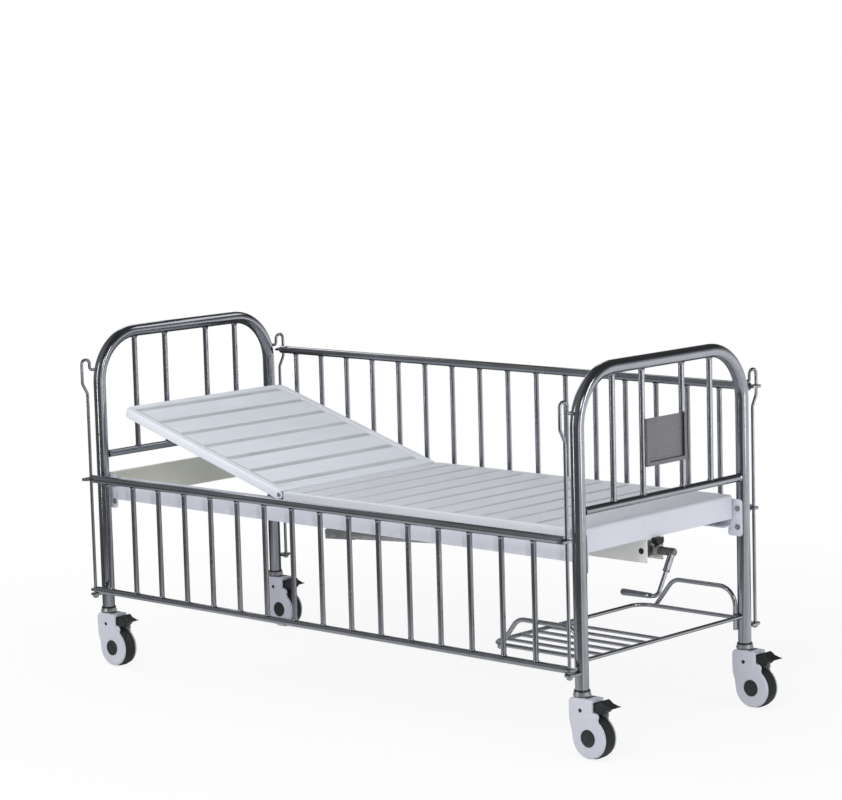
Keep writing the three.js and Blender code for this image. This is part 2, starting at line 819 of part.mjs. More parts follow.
function pushTube() {
  const nutHead = -nutFromTrunnion - nutLength;
  const forkBaseX = forkReach - driveLength;
  const prongInner = leverThickness / 2 + forkSideClearance;
  const prongOuter = prongInner + forkProng;
  const prongEnd = -driveLength - leverEyeRadius;
  const nut = bar(v3(-nutFromTrunnion, 0, 0), v3(nutHead, 0, 0), nutDiameter, nutSides);
  const tubeEnd = forkBaseX + forkBase / 2;
  const tube = bar(v3(nutHead + sheet, 0, 0), v3(tubeEnd, 0, 0), pushTubeDiameter, tubeSides);
  const fork = outline(
    [forkBaseX + forkBase, -prongOuter],
    [forkBaseX + forkBase, prongOuter],
    [prongEnd, prongOuter],
    [prongEnd, prongInner],
    [forkBaseX, prongInner],
    [forkBaseX, -prongInner],
    [prongEnd, -prongInner],
    [prongEnd, -prongOuter],
  );
  const thread = screwDiameter + 2 * screwClearance;
  const threadBore = bar(v3(0, 0, 0), v3(nutHead - sheet, 0, 0), thread, tubeSides);
  const tubeBore = bar(v3(nutHead, 0, 0), v3(forkBaseX + 2 * forkBase, 0, 0), pushTubeBore, tubeSides);
  const body = join(nut, tube, alongZ(fork, -forkHeight / 2, forkHeight / 2));
  add(drive, 'push_tube', cut(body, threadBore, tubeBore), 'zinc');
}

pushTube();

// Channel under the apron that carries the trunnion, open below
function crankChannel() {
  const half = channelWidth / 2 + sheet;
  const inner = channelWidth / 2 + seat;
  const topZ = apronBottomZ - seat;
  const profile = outline(
    [mechanismY - half, channelBottomZ],
    [mechanismY - half, topZ],
    [mechanismY + half, topZ],
    [mechanismY + half, channelBottomZ],
    [mechanismY + inner, channelBottomZ],
    [mechanismY + inner, topZ - sheet],
    [mechanismY - inner, topZ - sheet],
    [mechanismY - inner, channelBottomZ],
  );
  const channel = join(alongX(profile, channelFootX - channelLength, channelFootX));
  const holeDiameter = trunnionDiameter + 2 * trunnionClearance;
  const holes = bar(
    v3(trunnionX, mechanismY - 2 * half, crankZ),
    v3(trunnionX, mechanismY + 2 * half, crankZ),
    holeDiameter,
    tubeSides,
  );
  add(cot, 'crank_channel', cut(channel, holes), 'paint');
}

crankChannel();

// Bearing ring of the crank and the block that hangs it under the apron
function crankBearing() {
  const endX = bearingX + bearingLength;
  const ring = bar(
    v3(bearingX, mechanismY, crankZ),
    v3(endX, mechanismY, crankZ),
    bearingDiameter,
    roundSides,
  );
  const bore = bar(
    v3(bearingX - sheet, mechanismY, crankZ),
    v3(endX + sheet, mechanismY, crankZ),
    crankNeckDiameter + 2 * screwClearance,
    roundSides,
  );
  add(cot, 'crank_bearing', cut(join(ring), bore), 'brushed');
  const half = bearingBlockWidth / 2;
  const lowZ = crankZ + bearingDiameter / 2 + seat;
  const highZ = apronBottomZ - seat;
  const wedge = outline(
    [mechanismY - half, highZ],
    [mechanismY - half, lowZ + bearingBlockChamfer],
    [mechanismY - half + bearingBlockChamfer, lowZ],
    [mechanismY + half - bearingBlockChamfer, lowZ],
    [mechanismY + half, lowZ + bearingBlockChamfer],
    [mechanismY + half, highZ],
  );
  add(cot, 'bearing_block', alongX(wedge, channelFootX + seat, endX), 'black');
}

crankBearing();

// Crank: a hub with a socket for the handle, modelled hanging straight down and swung to its rest
const crank = new THREE.Group();
crank.position.set(0, mechanismY, crankZ);
crank.rotation.x = radians(crankSwingDegrees);
cot.add(crank);
const armX = crankHubEndX - sleeveDiameter / 2;

function crankHub() {
  const neckStart = bearingX - seat;
  const neckEnd = bearingX + bearingLength + seat;
  const neck = bar(v3(neckStart, 0, 0), v3(neckEnd + sheet, 0, 0), crankNeckDiameter, roundSides);
  const hub = bar(v3(neckEnd, 0, 0), v3(crankHubEndX, 0, 0), crankHubDiameter, roundSides);
  const sleeve = bar(v3(armX, 0, 0), v3(armX, 0, -sleeveLength), sleeveDiameter, tubeSides);
  const socketDepth = handleInsertion + seat;
  const socket = bar(
    v3(armX, 0, socketDepth - sleeveLength),
    v3(armX, 0, -2 * sleeveLength),
    handleRodDiameter + 2 * gripClearance,
    tubeSides,
  );
  const slotHalf = tongueThickness / 2 + tonguePlay;
  const slot = block(
    v3(neckStart - sheet, -slotHalf, -crankNeckDiameter),
    v3(neckStart + tongueSlotDepth, slotHalf, crankNeckDiameter),
  );
  add(crank, 'crank_hub', cut(join(neck, hub, sleeve), socket, slot), 'steel');
}

crankHub();

function crankHandle() {
  const gripStart = armX - handleBend - handleRodDiameter / 2;
  const gripEnd = gripStart - gripLength;
  const points = [
    v3(armX, 0, handleInsertion - sleeveLength),
    v3(armX, 0, -crankArmLength),
    v3(gripEnd, 0, -crankArmLength),
  ];
  add(crank, 'crank_handle_rod', bent(points, [handleBend], handleRodDiameter, tubeSides), 'steel');
  const grip = bar(
    v3(gripStart, 0, -crankArmLength),
    v3(gripEnd, 0, -crankArmLength),
    gripDiameter,
    tubeSides,
  );
  const bore = bar(
    v3(gripStart + sheet, 0, -crankArmLength),
    v3(gripEnd - sheet, 0, -crankArmLength),
    handleRodDiameter + 2 * gripClearance,
    tubeSides,
  );
  add(crank, 'crank_grip', cut(join(grip), bore), 'steel');
}

crankHandle();

// Wire rack: a rod frame with slats under its near half, an open far half and a hoop at each side
function rackGrid() {
  const innerPoints = [
    v3(halfX, -rackSideY, rackZ),
    v3(rackInnerX, -rackSideY, rackZ),
    v3(rackInnerX, rackSideY, rackZ),
    v3(halfX, rackSideY, rackZ),
  ];
  const bends = [rackCornerRadius, rackCornerRadius];
  const pieces = [
    bent(innerPoints, bends, rackRodDiameter, rodSides),
    bar(v3(rackOuterX, -halfY, rackZ), v3(rackOuterX, halfY, rackZ), rackRodDiameter, rodSides),
  ];
  for (let k = 0; k < rackSlats; k += 1) {
    const y = (k + 1) * rackSlatPitch - rackSideY;
    pieces.push(bar(v3(rackInnerX, y, rackZ), v3(rackOuterX, y, rackZ), rackSlatDiameter, thinSides));
  }
  add(cot, 'rack_grid', cut(join(...pieces), endTubeRoom(halfX)), 'steel');
}

rackGrid();

// A hoop stands on the rack's side rod and runs down beside the leg
function rackHoop(name, side) {
  const reach = legRadius + hoopDiameter / 2 + seat;
  const y = side * hoopY;
  const legX = halfX - Math.sqrt(reach ** 2 - legRadius ** 2) - seat;
  const points = [
    v3(hoopStartX - hoopOverhang, y, rackZ - rackRodDiameter / 2),
    v3(hoopStartX + hoopSlope, y, hoopTopZ),
    v3(legX, y, hoopTopZ),
    v3(legX, y, hoopFootZ),
  ];
  const bends = [hoopEntryBend, hoopBend];
  add(cot, `rack_hoop_${name}`, bent(points, bends, hoopDiameter, rodSides), 'steel');
}

rackHoop('near', -1);
rackHoop('far', 1);

// Casters: a stem plugged into the leg, a housing that swivels on it, a wheel on its axle and a brake pedal
function casterStem() {
  const plugRadius = legRadius - legWall - seat;
  const collarTop = legBottomZ - seat;
  const collarLow = collarTop - stemCollarHeight;
  const profile = [
    [0, legBottomZ + stemPlugLength],
    [plugRadius, legBottomZ + stemPlugLength],
    [plugRadius, collarTop],
    [stemCollarDiameter / 2, collarTop],
    [stemCollarDiameter / 2, collarLow],
    [kingpinDiameter / 2, collarLow],
    [kingpinDiameter / 2, collarLow - kingpinLength],
    [0, collarLow - kingpinLength],
  ];
  const points = profile.reverse().map(([r, z]) => new THREE.Vector2(r, z));
  return new THREE.LatheGeometry(points, tubeSides).rotateX(Math.PI / 2);
}

function casterHousing() {
  const half = housingWidth / 2;
  const hub = { x: wheelTrail, z: wheelRadius };
  const side = new THREE.Shape();
  side.moveTo(-housingFront + foldRadius, housingTopZ);
  side.quadraticCurveTo(-housingFront, housingTopZ, -housingFront, housingTopZ - foldRadius);
  side.lineTo(-housingFront, housingShoulderZ);
  side.absarc(hub.x, hub.z, housingDisc, Math.PI, 2 * Math.PI + radians(housingWrapDegrees), false);
  side.lineTo(housingRear, housingRearZ);
  side.lineTo(housingRear, housingTopZ);
  const pocketRadius = wheelRadius + pocketClearance;
  const pocketHalf = wheelWidth / 2 + pocketClearance;
  const pocket = bar(
    v3(hub.x, -pocketHalf, hub.z),
    v3(hub.x, pocketHalf, hub.z),
    2 * pocketRadius,
    roundSides,
  );
  const axleBore = bar(
    v3(hub.x, -housingWidth, hub.z),
    v3(hub.x, housingWidth, hub.z),
    axleDiameter + 2 * axleClearance,
    boreSides,
  );
  const kingpinBore = bar(
    v3(0, 0, housingTopZ - kingpinLength - pocketClearance),
    v3(0, 0, 2 * housingTopZ),
    kingpinDiameter + 2 * axleClearance,
    boreSides,
  );
  const pedalPocket = block(
    v3(pedalPivotX - pedalPinDiameter - pedalPlay, -pocketHalf, hub.z),
    v3(2 * housingRear, pocketHalf, housingTopZ - pedalRoof),
  );
  const pedalBore = bar(
    v3(pedalPivotX, -housingWidth, pedalPivotZ),
    v3(pedalPivotX, housingWidth, pedalPivotZ),
    pedalPinDiameter + 2 * axleClearance,
    boreSides,
  );
  return cut(join(alongY(side, -half, half)), pocket, axleBore, kingpinBore, pedalPocket, pedalBore);
}

// The pedal's root turns between the housing's cheeks and its pointed tab stands out behind
function casterPedal() {
  const half = pedalWidth / 2;
  const rootX = pedalPivotX - pedalPinDiameter;
  const rootTopZ = housingTopZ - pedalRoof - pedalPlay;
  const tabX = pedalReach - pedalTabLength;
  const side = outline(
    [rootX, pedalPivotZ - pedalPinDiameter],
    [tabX - pedalHeel, pedalPivotZ - pedalPinDiameter],
    [tabX, pedalPivotZ - pedalTabDrop],
    [pedalReach, pedalPivotZ + pedalTipRise],
    [tabX, pedalPivotZ + pedalTabRise],
    [tabX - pedalCrown, rootTopZ + pedalCrownRise],
    [housingRear + pedalPlay, rootTopZ],
    [rootX, rootTopZ],
  );
  const pin = bar(
    v3(pedalPivotX, -housingWidth / 2, pedalPivotZ),
    v3(pedalPivotX, housingWidth / 2, pedalPivotZ),
    pedalPinDiameter,
    boreSides,
  );
  return join(alongY(side, -half, half), pin);
}

function casterWheel() {
  const half = wheelWidth / 2;
  const bore = axleDiameter / 2 + axleClearance;
  const rim = wheelRadius - treadRound;
  const profile = [
    [bore, -half],
    [rim, -half],
    [wheelRadius, treadRound - half],
    [wheelRadius, half - treadRound],
    [rim, half],
    [bore, half],
    [bore, -half],
  ];
  const points = profile.map(([r, y]) => new THREE.Vector2(r, y));
  const wheel = new THREE.LatheGeometry(points, roundSides, Math.PI / roundSides);
  return wheel.translate(wheelTrail, 0, wheelRadius);
}

function casterAxle() {
  const capInner = housingWidth / 2 + seat;
  const capOuter = capInner + axleCapThickness;
  const profile = [
    [0, -capOuter],
    [axleCapDiameter / 2, -capOuter],
    [axleCapDiameter / 2, -capInner],
    [axleDiameter / 2, -capInner],
    [axleDiameter / 2, capInner],
    [axleCapDiameter / 2, capInner],
    [axleCapDiameter / 2, capOuter],
    [0, capOuter],
  ];
  const points = profile.map(([r, y]) => new THREE.Vector2(r, y));
  return new THREE.LatheGeometry(points, tubeSides).translate(wheelTrail, 0, wheelRadius);
}

function caster(corner) {
  const group = new THREE.Group();
  group.position.set(corner.x * halfX, corner.y * halfY, 0);
  cot.add(group);
  add(group, `${corner.name}_caster_stem`, casterStem(), 'zinc');
  add(group, `${corner.name}_caster_housing`, casterHousing(), 'plastic');
  add(group, `${corner.name}_caster_axle`, casterAxle(), 'black');
  add(group, `${corner.name}_caster_wheel`, casterWheel(), 'tyre');
  add(group, `${corner.name}_brake_pedal`, casterPedal(), 'black');
}

corners.forEach(caster);

// The origin is under the middle of the whole cot, on the floor
const box = new THREE.Box3().setFromObject(cot);
const middle = box.getCenter(v3(0, 0, 0));
cot.position.set(-middle.x, -middle.y, -box.min.z);

export default cot;
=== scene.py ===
"""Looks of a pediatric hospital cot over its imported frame: tubes, pressed panels, casters and finishes."""
import math

import bmesh
import bpy
import numpy as np
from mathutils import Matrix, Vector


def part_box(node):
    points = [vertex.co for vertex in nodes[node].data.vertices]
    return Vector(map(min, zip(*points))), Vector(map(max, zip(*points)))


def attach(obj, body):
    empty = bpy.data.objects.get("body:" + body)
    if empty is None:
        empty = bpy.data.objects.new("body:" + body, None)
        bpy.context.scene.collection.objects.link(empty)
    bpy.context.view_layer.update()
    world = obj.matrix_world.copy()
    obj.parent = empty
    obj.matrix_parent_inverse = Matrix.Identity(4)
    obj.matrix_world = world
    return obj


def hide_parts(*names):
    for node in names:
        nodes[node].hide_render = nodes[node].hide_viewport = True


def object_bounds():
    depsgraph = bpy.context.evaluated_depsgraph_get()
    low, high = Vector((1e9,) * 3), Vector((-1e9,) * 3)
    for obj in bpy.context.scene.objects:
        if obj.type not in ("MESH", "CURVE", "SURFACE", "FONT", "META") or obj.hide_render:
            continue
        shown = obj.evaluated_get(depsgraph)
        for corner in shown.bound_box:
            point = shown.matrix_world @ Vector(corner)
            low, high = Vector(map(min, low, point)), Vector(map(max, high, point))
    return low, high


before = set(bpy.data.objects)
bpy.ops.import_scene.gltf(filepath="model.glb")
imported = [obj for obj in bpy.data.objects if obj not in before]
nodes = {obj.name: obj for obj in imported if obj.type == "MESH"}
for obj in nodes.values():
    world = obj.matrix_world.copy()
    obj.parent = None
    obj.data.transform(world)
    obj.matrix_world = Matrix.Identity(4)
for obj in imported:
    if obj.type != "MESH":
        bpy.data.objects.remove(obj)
cad_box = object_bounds()

# The cot's own places, in millimetres from the middle of its four legs, and the shift into the row frame
LEG_X, LEG_Y, LEG_R = 800.0, 303.0, 16.0
LEG_LOW, END_TOP, END_BEND = 145.0, 864.0, 125.0
GRILLE_Z, GRILLE_R, POST_R, POST_YS = 552.0, 9.5, 7.0, (-179, -73, 73, 179)
WELD_IN = 0.5  # how far a welded bar reaches into the tube it ends on
RAIL_Y, RAIL_LOW, RAIL_HEIGHT, RAIL_TRAVEL = 345.0, 204.0, 290.5, 267.5
TOP_BAR_R, LOW_BAR_R, BALUSTER_R, BAR_SHORT = 10.0, 8.5, 6.5, 8.5
BALUSTERS, BALUSTER_MIDDLE, BALUSTER_PITCH = 16, -15.8, 95.8
ROD_BULGE, ROD_PLATE_LOW, ROD_PLATE_HIGH, ROD_PLATE_R = 15.5, 189.2, 195.2, 12
DECK_TOP, PANEL_HALF, SKIRT, EDGE_ROLL, SHEET = 510.0, 283.0, 22.0, 4.0, 2.5
BORDER_IN, BORDER_WIDTH = 25.5, 3.6
HINGE_X, HINGE_Z, BACKREST_REST = -168.0, 500.0, math.radians(16.5)
CRANK_Y, CRANK_Z, ARM_X, ARM_END, ARM_SWING = -14.0, 423.0, 834.0, -110, math.radians(-31)
TRUNNION_X = 768.7
RACK_Z, RACK_INNER, RACK_SIDE = 217.0, 505.0, 275.5
CORNERS = {"head_near": (-1, -1), "head_far": (-1, 1), "foot_near": (1, -1), "foot_far": (1, 1)}

leg_low, leg_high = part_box("foot_end_tube")
SHIFT = np.array([(leg_low.x + leg_high.x) / 2 - LEG_X / 1000, 0.0, leg_low.z - LEG_LOW / 1000])


# Shapes. A shape is (points, quads, polygons): an (n, 3) array, an (m, 4) array and a list of vertex loops.
ORIGIN, ALONG_X, ALONG_Y, ALONG_Z = (0, 0, 0), (1, 0, 0), (0, 1, 0), (0, 0, 1)
FLAT = (0, 1, 2)  # the axes of a slab whose outline lies level


def grid_quads(rows, cols, wrap=False):
    """Quads of a rows by cols grid stored row by row; with wrap the last column joins the first."""
    i, j = np.meshgrid(np.arange(rows - 1), np.arange(cols if wrap else cols - 1), indexing="ij")
    k = (j + 1) % cols
    return np.stack([i * cols + j, i * cols + k, (i + 1) * cols + k, (i + 1) * cols + j], -1).reshape(-1, 4)


def combine(*shapes):
    """One shape from several: points end to end, each shape's vertex numbers moved up by those before it."""
    points, quads, loops, base = [], [], [], 0
    for p, q, n in shapes:
        points.append(p)
        quads.append(np.asarray(q, int).reshape(-1, 4) + base)
        loops += [(np.asarray(loop) + base).tolist() for loop in n]
        base += len(p)
    return np.concatenate(points), np.concatenate(quads), loops


def moved(shape, by=(0, 0, 0), turn=None):
    """The shape turned by a 3 by 3 matrix about the origin and then shifted."""
    p = shape[0] if turn is None else shape[0] @ np.asarray(turn).T
    return p + np.asarray(by, float), shape[1], shape[2]


def turn_y(angle):
    """Right-hand turn about +Y."""
    c, s = math.cos(angle), math.sin(angle)
    return np.array([[c, 0, s], [0, 1, 0], [-s, 0, c]])


def turn_x(angle):
    """Right-hand turn about +X."""
    c, s = math.cos(angle), math.sin(angle)
    return np.array([[1, 0, 0], [0, c, -s], [0, s, c]])


def quarter_turn(sign):
    """A quarter turn about +Z that takes +X to sign times +Y."""
    return np.array([[0, -sign, 0], [sign, 0, 0], [0, 0, 1]])


def bent_path(corners, bends, step=math.radians(6)):
    """Straight runs with a circular arc at each inner corner: the arc starts radius times tan(half the angle)
    before the corner, and runs as start + r sin(a) along the old run + r (1 - cos(a)) towards the inside."""
    c = np.asarray(corners, float)
    run = np.diff(c, axis=0)
    run /= np.linalg.norm(run, axis=1, keepdims=True)
    points, tangents = [c[:1]], [run[:1]]
    for i, radius in enumerate(bends):
        a, b = run[i], run[i + 1]
        angle = math.acos(np.clip(a @ b, -1, 1))
        inward = (b - a * math.cos(angle)) / math.sin(angle)
        start = c[i + 1] - a * radius * math.tan(angle / 2)
        t = np.linspace(0, angle, max(4, int(angle / step) + 1))[:, None]
        points.append(start + radius * (np.sin(t) * a + (1 - np.cos(t)) * inward))
        tangents.append(np.cos(t) * a + np.sin(t) * inward)
    points.append(c[-1:])
    tangents.append(run[-1:])
    return np.concatenate(points), np.concatenate(tangents)


def plane_normal(points):
    """A unit vector square to a flat path: the first run crossed with the first run that leaves its line."""
    d = np.diff(np.asarray(points, float), axis=0)
    cross = np.cross(d[0], d)
    size = np.linalg.norm(cross, axis=1)
    if size.max() > 1e-6:
        return cross[size.argmax()] / size.max()
    axis = np.eye(3)[np.abs(d[0]).argmin()]
    cross = np.cross(d[0], axis)
    return cross / np.linalg.norm(cross)


def rings(points, tangents, normal, radii, sides):
    """Circles square to a path: p + r (cos a n + sin a b), b the normal of its plane and n = b x tangent."""
    a = np.linspace(0, 2 * np.pi, sides, endpoint=False)
    n = np.cross(normal, tangents)
    n /= np.linalg.norm(n, axis=1, keepdims=True)
    circle = np.cos(a)[None, :, None] * n[:, None] + np.sin(a)[None, :, None] * normal
    return (points[:, None] + np.asarray(radii)[:, None, None] * circle).reshape(-1, 3)


def capped(points, rows, sides):
    """A closed tube of rows rings, its two ends filled."""
    last = (rows - 1) * sides
    return points, grid_quads(rows, sides, True), [list(range(sides))[::-1], list(range(last, last + sides))]


def tube(corners, bends=(), radius=5.0, sides=24, soft=0.8):
    """A round rod along a bent path, with its end edges rounded over by a small ring."""
    p, t = bent_path(corners, bends)
    p = np.concatenate([p[:1], p[:1] + t[:1] * soft, p[1:-1], p[-1:] - t[-1:] * soft, p[-1:]])
    t = np.concatenate([t[:1], t[:1], t[1:-1], t[-1:], t[-1:]])
    r = np.full(len(p), radius)
    r[[0, -1]] = radius - soft
    return capped(rings(p, t, plane_normal(corners), r, sides), len(p), sides)


def welded_bar(start, end, radius, bead=1.6, run=3.0, sides=20):
    """A straight bar that swells to a weld bead at both ends: r + bead exp(-(s / run)^2) from each end."""
    start, end = np.asarray(start, float), np.asarray(end, float)
    length = np.linalg.norm(end - start)
    s = np.concatenate([np.linspace(0, 3 * run, 9), np.linspace(length - 3 * run, length, 9)])
    r = radius + bead * (np.exp(-(s / run) ** 2) + np.exp(-((length - s) / run) ** 2))
    axis = (end - start) / length
    p = start + s[:, None] * axis
    return capped(rings(p, np.tile(axis, (len(s), 1)), plane_normal([start, end]), r, sides), len(s), sides)


def lathe(profile, origin, axis, sides=40):
    """A turned piece: profile rows are (radius, height along the axis); rows of radius 0 close the ends."""
    prof = np.asarray(profile, float)
    axis = np.asarray(axis, float) / np.linalg.norm(axis)
    p = np.asarray(origin, float) + prof[:, 1:2] * axis
    flat = plane_normal([np.zeros(3), axis])
    return rings(p, np.tile(axis, (len(p), 1)), flat, prof[:, 0], sides), grid_quads(len(p), sides, True), []


def ring_lathe(profile, origin, axis, sides=40):
    """A turned ring: the closed profile's last row joins its first, so the piece has a bore."""
    prof = np.asarray(profile, float)
    return lathe(np.concatenate([prof, prof[:1]]), origin, axis, sides)


def outward(outline):
    """Unit miter normals of a closed counter-clockwise outline, from the mean of the two edge normals."""
    edge = np.roll(outline, -1, 0) - outline
    n = np.stack([edge[:, 1], -edge[:, 0]], 1)
    n /= np.maximum(np.linalg.norm(n, axis=1, keepdims=True), 1e-9)
    m = n + np.roll(n, 1, 0)
    return m / np.maximum((m * m).sum(1, keepdims=True) / 2, 0.4)


def slab(outline, low, high, round_over=1.5, axes=(0, 2, 1), steps=5, low_rim=None, high_rim=None):
    """An outline carried along an axis with both rims rounded over a quarter ellipse: at angle a the rim is
    inset by i (1 - sin a) and lies d (1 - cos a) inside the face. A rim gives (i, d), or both are the
    round-over. axes says which of x, y, z the outline's two columns and the depth are."""
    o = np.asarray(outline, float)
    n = outward(o)
    a = np.linspace(0, np.pi / 2, steps)
    low_rim = low_rim or (round_over, round_over)
    high_rim = high_rim or (round_over, round_over)
    inset = np.concatenate([low_rim[0] * (1 - np.sin(a)), high_rim[0] * (1 - np.sin(a))[::-1]])
    level = np.concatenate([low + low_rim[1] * (1 - np.cos(a)), high - high_rim[1] * (1 - np.cos(a))[::-1]])
    flat = o[None] - inset[:, None, None] * n[None]
    p = np.zeros((len(level), len(o), 3))
    p[..., axes[0]] = flat[..., 0]
    p[..., axes[1]] = flat[..., 1]
    p[..., axes[2]] = level[:, None]
    return capped(p.reshape(-1, 3), len(level), len(o))


def arc(cx, cy, radius, start, end, count):
    """Points on a circular arc from start to end, in degrees."""
    a = np.radians(np.linspace(start, end, count))
    return np.stack([cx + radius * np.cos(a), cy + radius * np.sin(a)], 1)


def stadium(x0, x1, y, radius, count=13):
    """A slot outline: two half circles joined by straights."""
    return np.concatenate([arc(x1, y, radius, -90, 90, count), arc(x0, y, radius, 90, 270, count)])


def eye_ring(x0, x1, y, outer, inner, low, high):
    """A flat eye: two stadium outlines, outer and inner, joined over a rounded rectangular section."""
    r = 0.9
    section = [(outer - r, low), (outer, low + r), (outer, high - r), (outer - r, high),
               (inner + r, high), (inner, high - r), (inner, low + r), (inner + r, low)]
    loops = [stadium(x0, x1, y, radius) for radius, _ in section]
    cols = len(loops[0])
    p = np.concatenate([np.column_stack([loop, np.full(cols, z)]) for loop, (_, z) in zip(loops, section)])
    q = grid_quads(len(section), cols, True)
    first, last = np.arange(cols), (len(section) - 1) * cols + np.arange(cols)
    close = np.stack([last, np.roll(last, -1), np.roll(first, -1), first], 1)
    return p, np.concatenate([q, close]), []


def smooth_step(t):
    """3 t^2 - 2 t^3 with t held between 0 and 1."""
    t = np.clip(t, 0, 1)
    return t * t * (3 - 2 * t)


def rounded_box_distance(x, y, x0, x1, half, r_low, r_high):
    """Depth inside a rectangle with round corners: the corner's radius is r_low at x0 and r_high at x1."""
    cx, hx = (x0 + x1) / 2, (x1 - x0) / 2
    r = np.where(x < cx, r_low, r_high)
    qx, qy = np.abs(x - cx) - (hx - r), np.abs(y) - (half - r)
    outside = np.hypot(np.maximum(qx, 0), np.maximum(qy, 0)) + np.minimum(np.maximum(qx, qy), 0)
    return r - outside


def pressed_panel(x0, x1, top, r_low, r_high, groove_xs, groove_half, groove_deep, reach, line_deep=0.0,
                  open_foot=False):
    """A pressed sheet over a grid that follows its round corners. With d the depth inside the outline, the
    top falls by roll - sqrt(roll^2 - (roll - d)^2) within the rolled edge, by a smooth bump along a border
    line, and by deep times a smooth step of (half - g) / wall within each groove, g being the way from the
    groove's middle line. A second skin lies one sheet lower and half a sheet further in, with a hem between
    them all round, and a closed skirt hangs from the edge, apart from an open foot edge. Returns the shape
    and each point's share of painted shade: in the grooves, along the border line (most on the near side) and
    a little on a closed skirt."""
    edge = np.array([0, 0.3, 1, 2, 3, 4.5, 7, 11, 16, 20, 22, 24, BORDER_IN, 27, 29, 31])
    fine = np.linspace(-1, 1, 25) * (groove_half + 1)
    base = np.concatenate([x0 + edge, x1 - edge, np.arange(x0 + 34, x1 - 32, 14),
                           *[g + fine for g in groove_xs]])
    base = np.unique(np.round(base, 2))
    side = np.concatenate([PANEL_HALF - edge, np.arange(reach - 4, reach + groove_half, 1.5),
                           np.arange(0, reach - 8, 24)])
    y = np.unique(np.round(np.concatenate([side, -side]), 2))

    def corner(r):
        """How far the outline draws in at each y: r - sqrt(r^2 - c^2), c being the way into the corner."""
        return r - np.sqrt(np.maximum(r * r - np.maximum(np.abs(y) - (PANEL_HALF - r), 0) ** 2, 0))

    zone_low, zone_high = 2 * r_low + 6, 2 * r_high + 12
    t_low = np.clip(1 - (base - x0) / zone_low, 0, 1)[:, None]
    t_high = np.clip(1 - (x1 - base) / zone_high, 0, 1)[:, None]
    gx = base[:, None] + t_low * corner(r_low) - t_high * corner(r_high)
    gy = np.broadcast_to(y, gx.shape)
    d = np.clip(rounded_box_distance(gx, gy, x0, x1, PANEL_HALF, r_low, r_high), 0, None)
    in_roll = np.clip(EDGE_ROLL - d, 0, EDGE_ROLL)
    fall = EDGE_ROLL - np.sqrt(EDGE_ROLL ** 2 - in_roll ** 2)
    border = smooth_step(1.4 - np.abs(d - BORDER_IN) / BORDER_WIDTH)
    fall = fall + line_deep * border
    groove = np.zeros_like(gx)
    for g in groove_xs:
        away = np.hypot(gx - g, np.maximum(np.abs(gy) - reach, 0))
        groove = np.maximum(groove, smooth_step((groove_half - away) / (0.55 * groove_half)))
    fall = fall + groove_deep * groove
    upper = np.stack([gx, gy, top - fall], -1).reshape(-1, 3)
    rows, cols = gx.shape
    quads = grid_quads(rows, cols)[:, ::-1]
    middle = np.array([(x0 + x1) / 2, 0, 0])
    inward = 1 - SHEET / np.array([x1 - x0, 2 * PANEL_HALF, np.inf])
    lower = middle + (upper - middle) * inward - [0, 0, SHEET]
    index = np.arange(rows * cols).reshape(rows, cols)
    around = np.concatenate([index[0], index[1:, -1], index[-1, -2::-1], index[-2:0:-1, 0]])
    hem = (np.concatenate([upper[around], lower[around]]), grid_quads(2, len(around), True), [])

    count = 9
    rim = np.concatenate([arc(x0 + r_low, r_low - PANEL_HALF, r_low, 180, 270, count),
                          arc(x1 - r_high, r_high - PANEL_HALF, r_high, 270, 360, count),
                          arc(x1 - r_high, PANEL_HALF - r_high, r_high, 0, 90, count),
                          arc(x0 + r_low, PANEL_HALF - r_low, r_low, 90, 180, count)])
    n = outward(rim)
    if open_foot:
        far, near = slice(3 * count - 1, None), slice(count + 1)
        rim = np.concatenate([[(x1, PANEL_HALF)], rim[far], rim[near], [(x1, -PANEL_HALF)]])
        n = np.concatenate([[(0, 1)], n[far], n[near], [(0, -1)]])
    section = [(0, EDGE_ROLL), (0, SKIRT - 1), (0.6, SKIRT), (2, SKIRT), (SHEET, SKIRT - 1),
               (SHEET, EDGE_ROLL), (0, EDGE_ROLL)]
    wall = np.concatenate([np.column_stack([rim - inset * n, np.full(len(rim), top - low)])
                           for inset, low in section])
    ends = len(rim) * np.arange(len(section) - 1)
    caps = [ends[::-1].tolist(), (ends + len(rim) - 1).tolist()] if open_foot else []
    skirt = (wall, grid_quads(len(section), len(rim), not open_foot)[:, ::-1], caps)
    shape = combine((upper, quads, []), (lower, quads[:, ::-1], []), skirt, hem)
    # Painted shade along the border line too, darkest on the near side
    line_shade = (0.2 + 0.7 * smooth_step((-gy - 200) / 60)) * (line_deep > 0)
    painted_shade_weight = np.maximum(groove, border * line_shade).ravel()
    # A closed panel's skirt gets a little painted shade, so that it is no paler than the top beside it
    share = np.concatenate([painted_shade_weight, painted_shade_weight, np.full(len(wall), 0.0 if open_foot else 0.3), np.zeros(len(hem[0]))])
    return shape, share


def make(name, shape, finish, body, hides=(), sharp=38, share=None, wall=False):
    """Turns a shape in cot millimetres into an object in the row frame, smooth apart from its sharp edges. A
    share of painted shade is kept as the point attribute groove, and a wall keeps the way its faces were
    drawn."""
    points, quads, loops = shape
    mesh = bpy.data.meshes.new(name)
    mesh.from_pydata((points * 0.001 + SHIFT).tolist(), [], np.asarray(quads).tolist() + loops)
    if share is not None:
        mesh.attributes.new("groove", "FLOAT", "POINT").data.foreach_set("value", share.astype(np.float32))
    bm = bmesh.new()
    bm.from_mesh(mesh)
    bmesh.ops.remove_doubles(bm, verts=bm.verts, dist=1e-6)
    if not wall:
        bmesh.ops.recalc_face_normals(bm, faces=bm.faces)
    bm.to_mesh(mesh)
    bm.free()
    mesh.shade_smooth()
    mesh.set_sharp_from_angle(angle=math.radians(sharp))
    obj = bpy.data.objects.new(name, mesh)
    bpy.context.scene.collection.objects.link(obj)
    mesh.materials.append(finish)
    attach(obj, body)
    if hides:
        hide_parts(*hides)


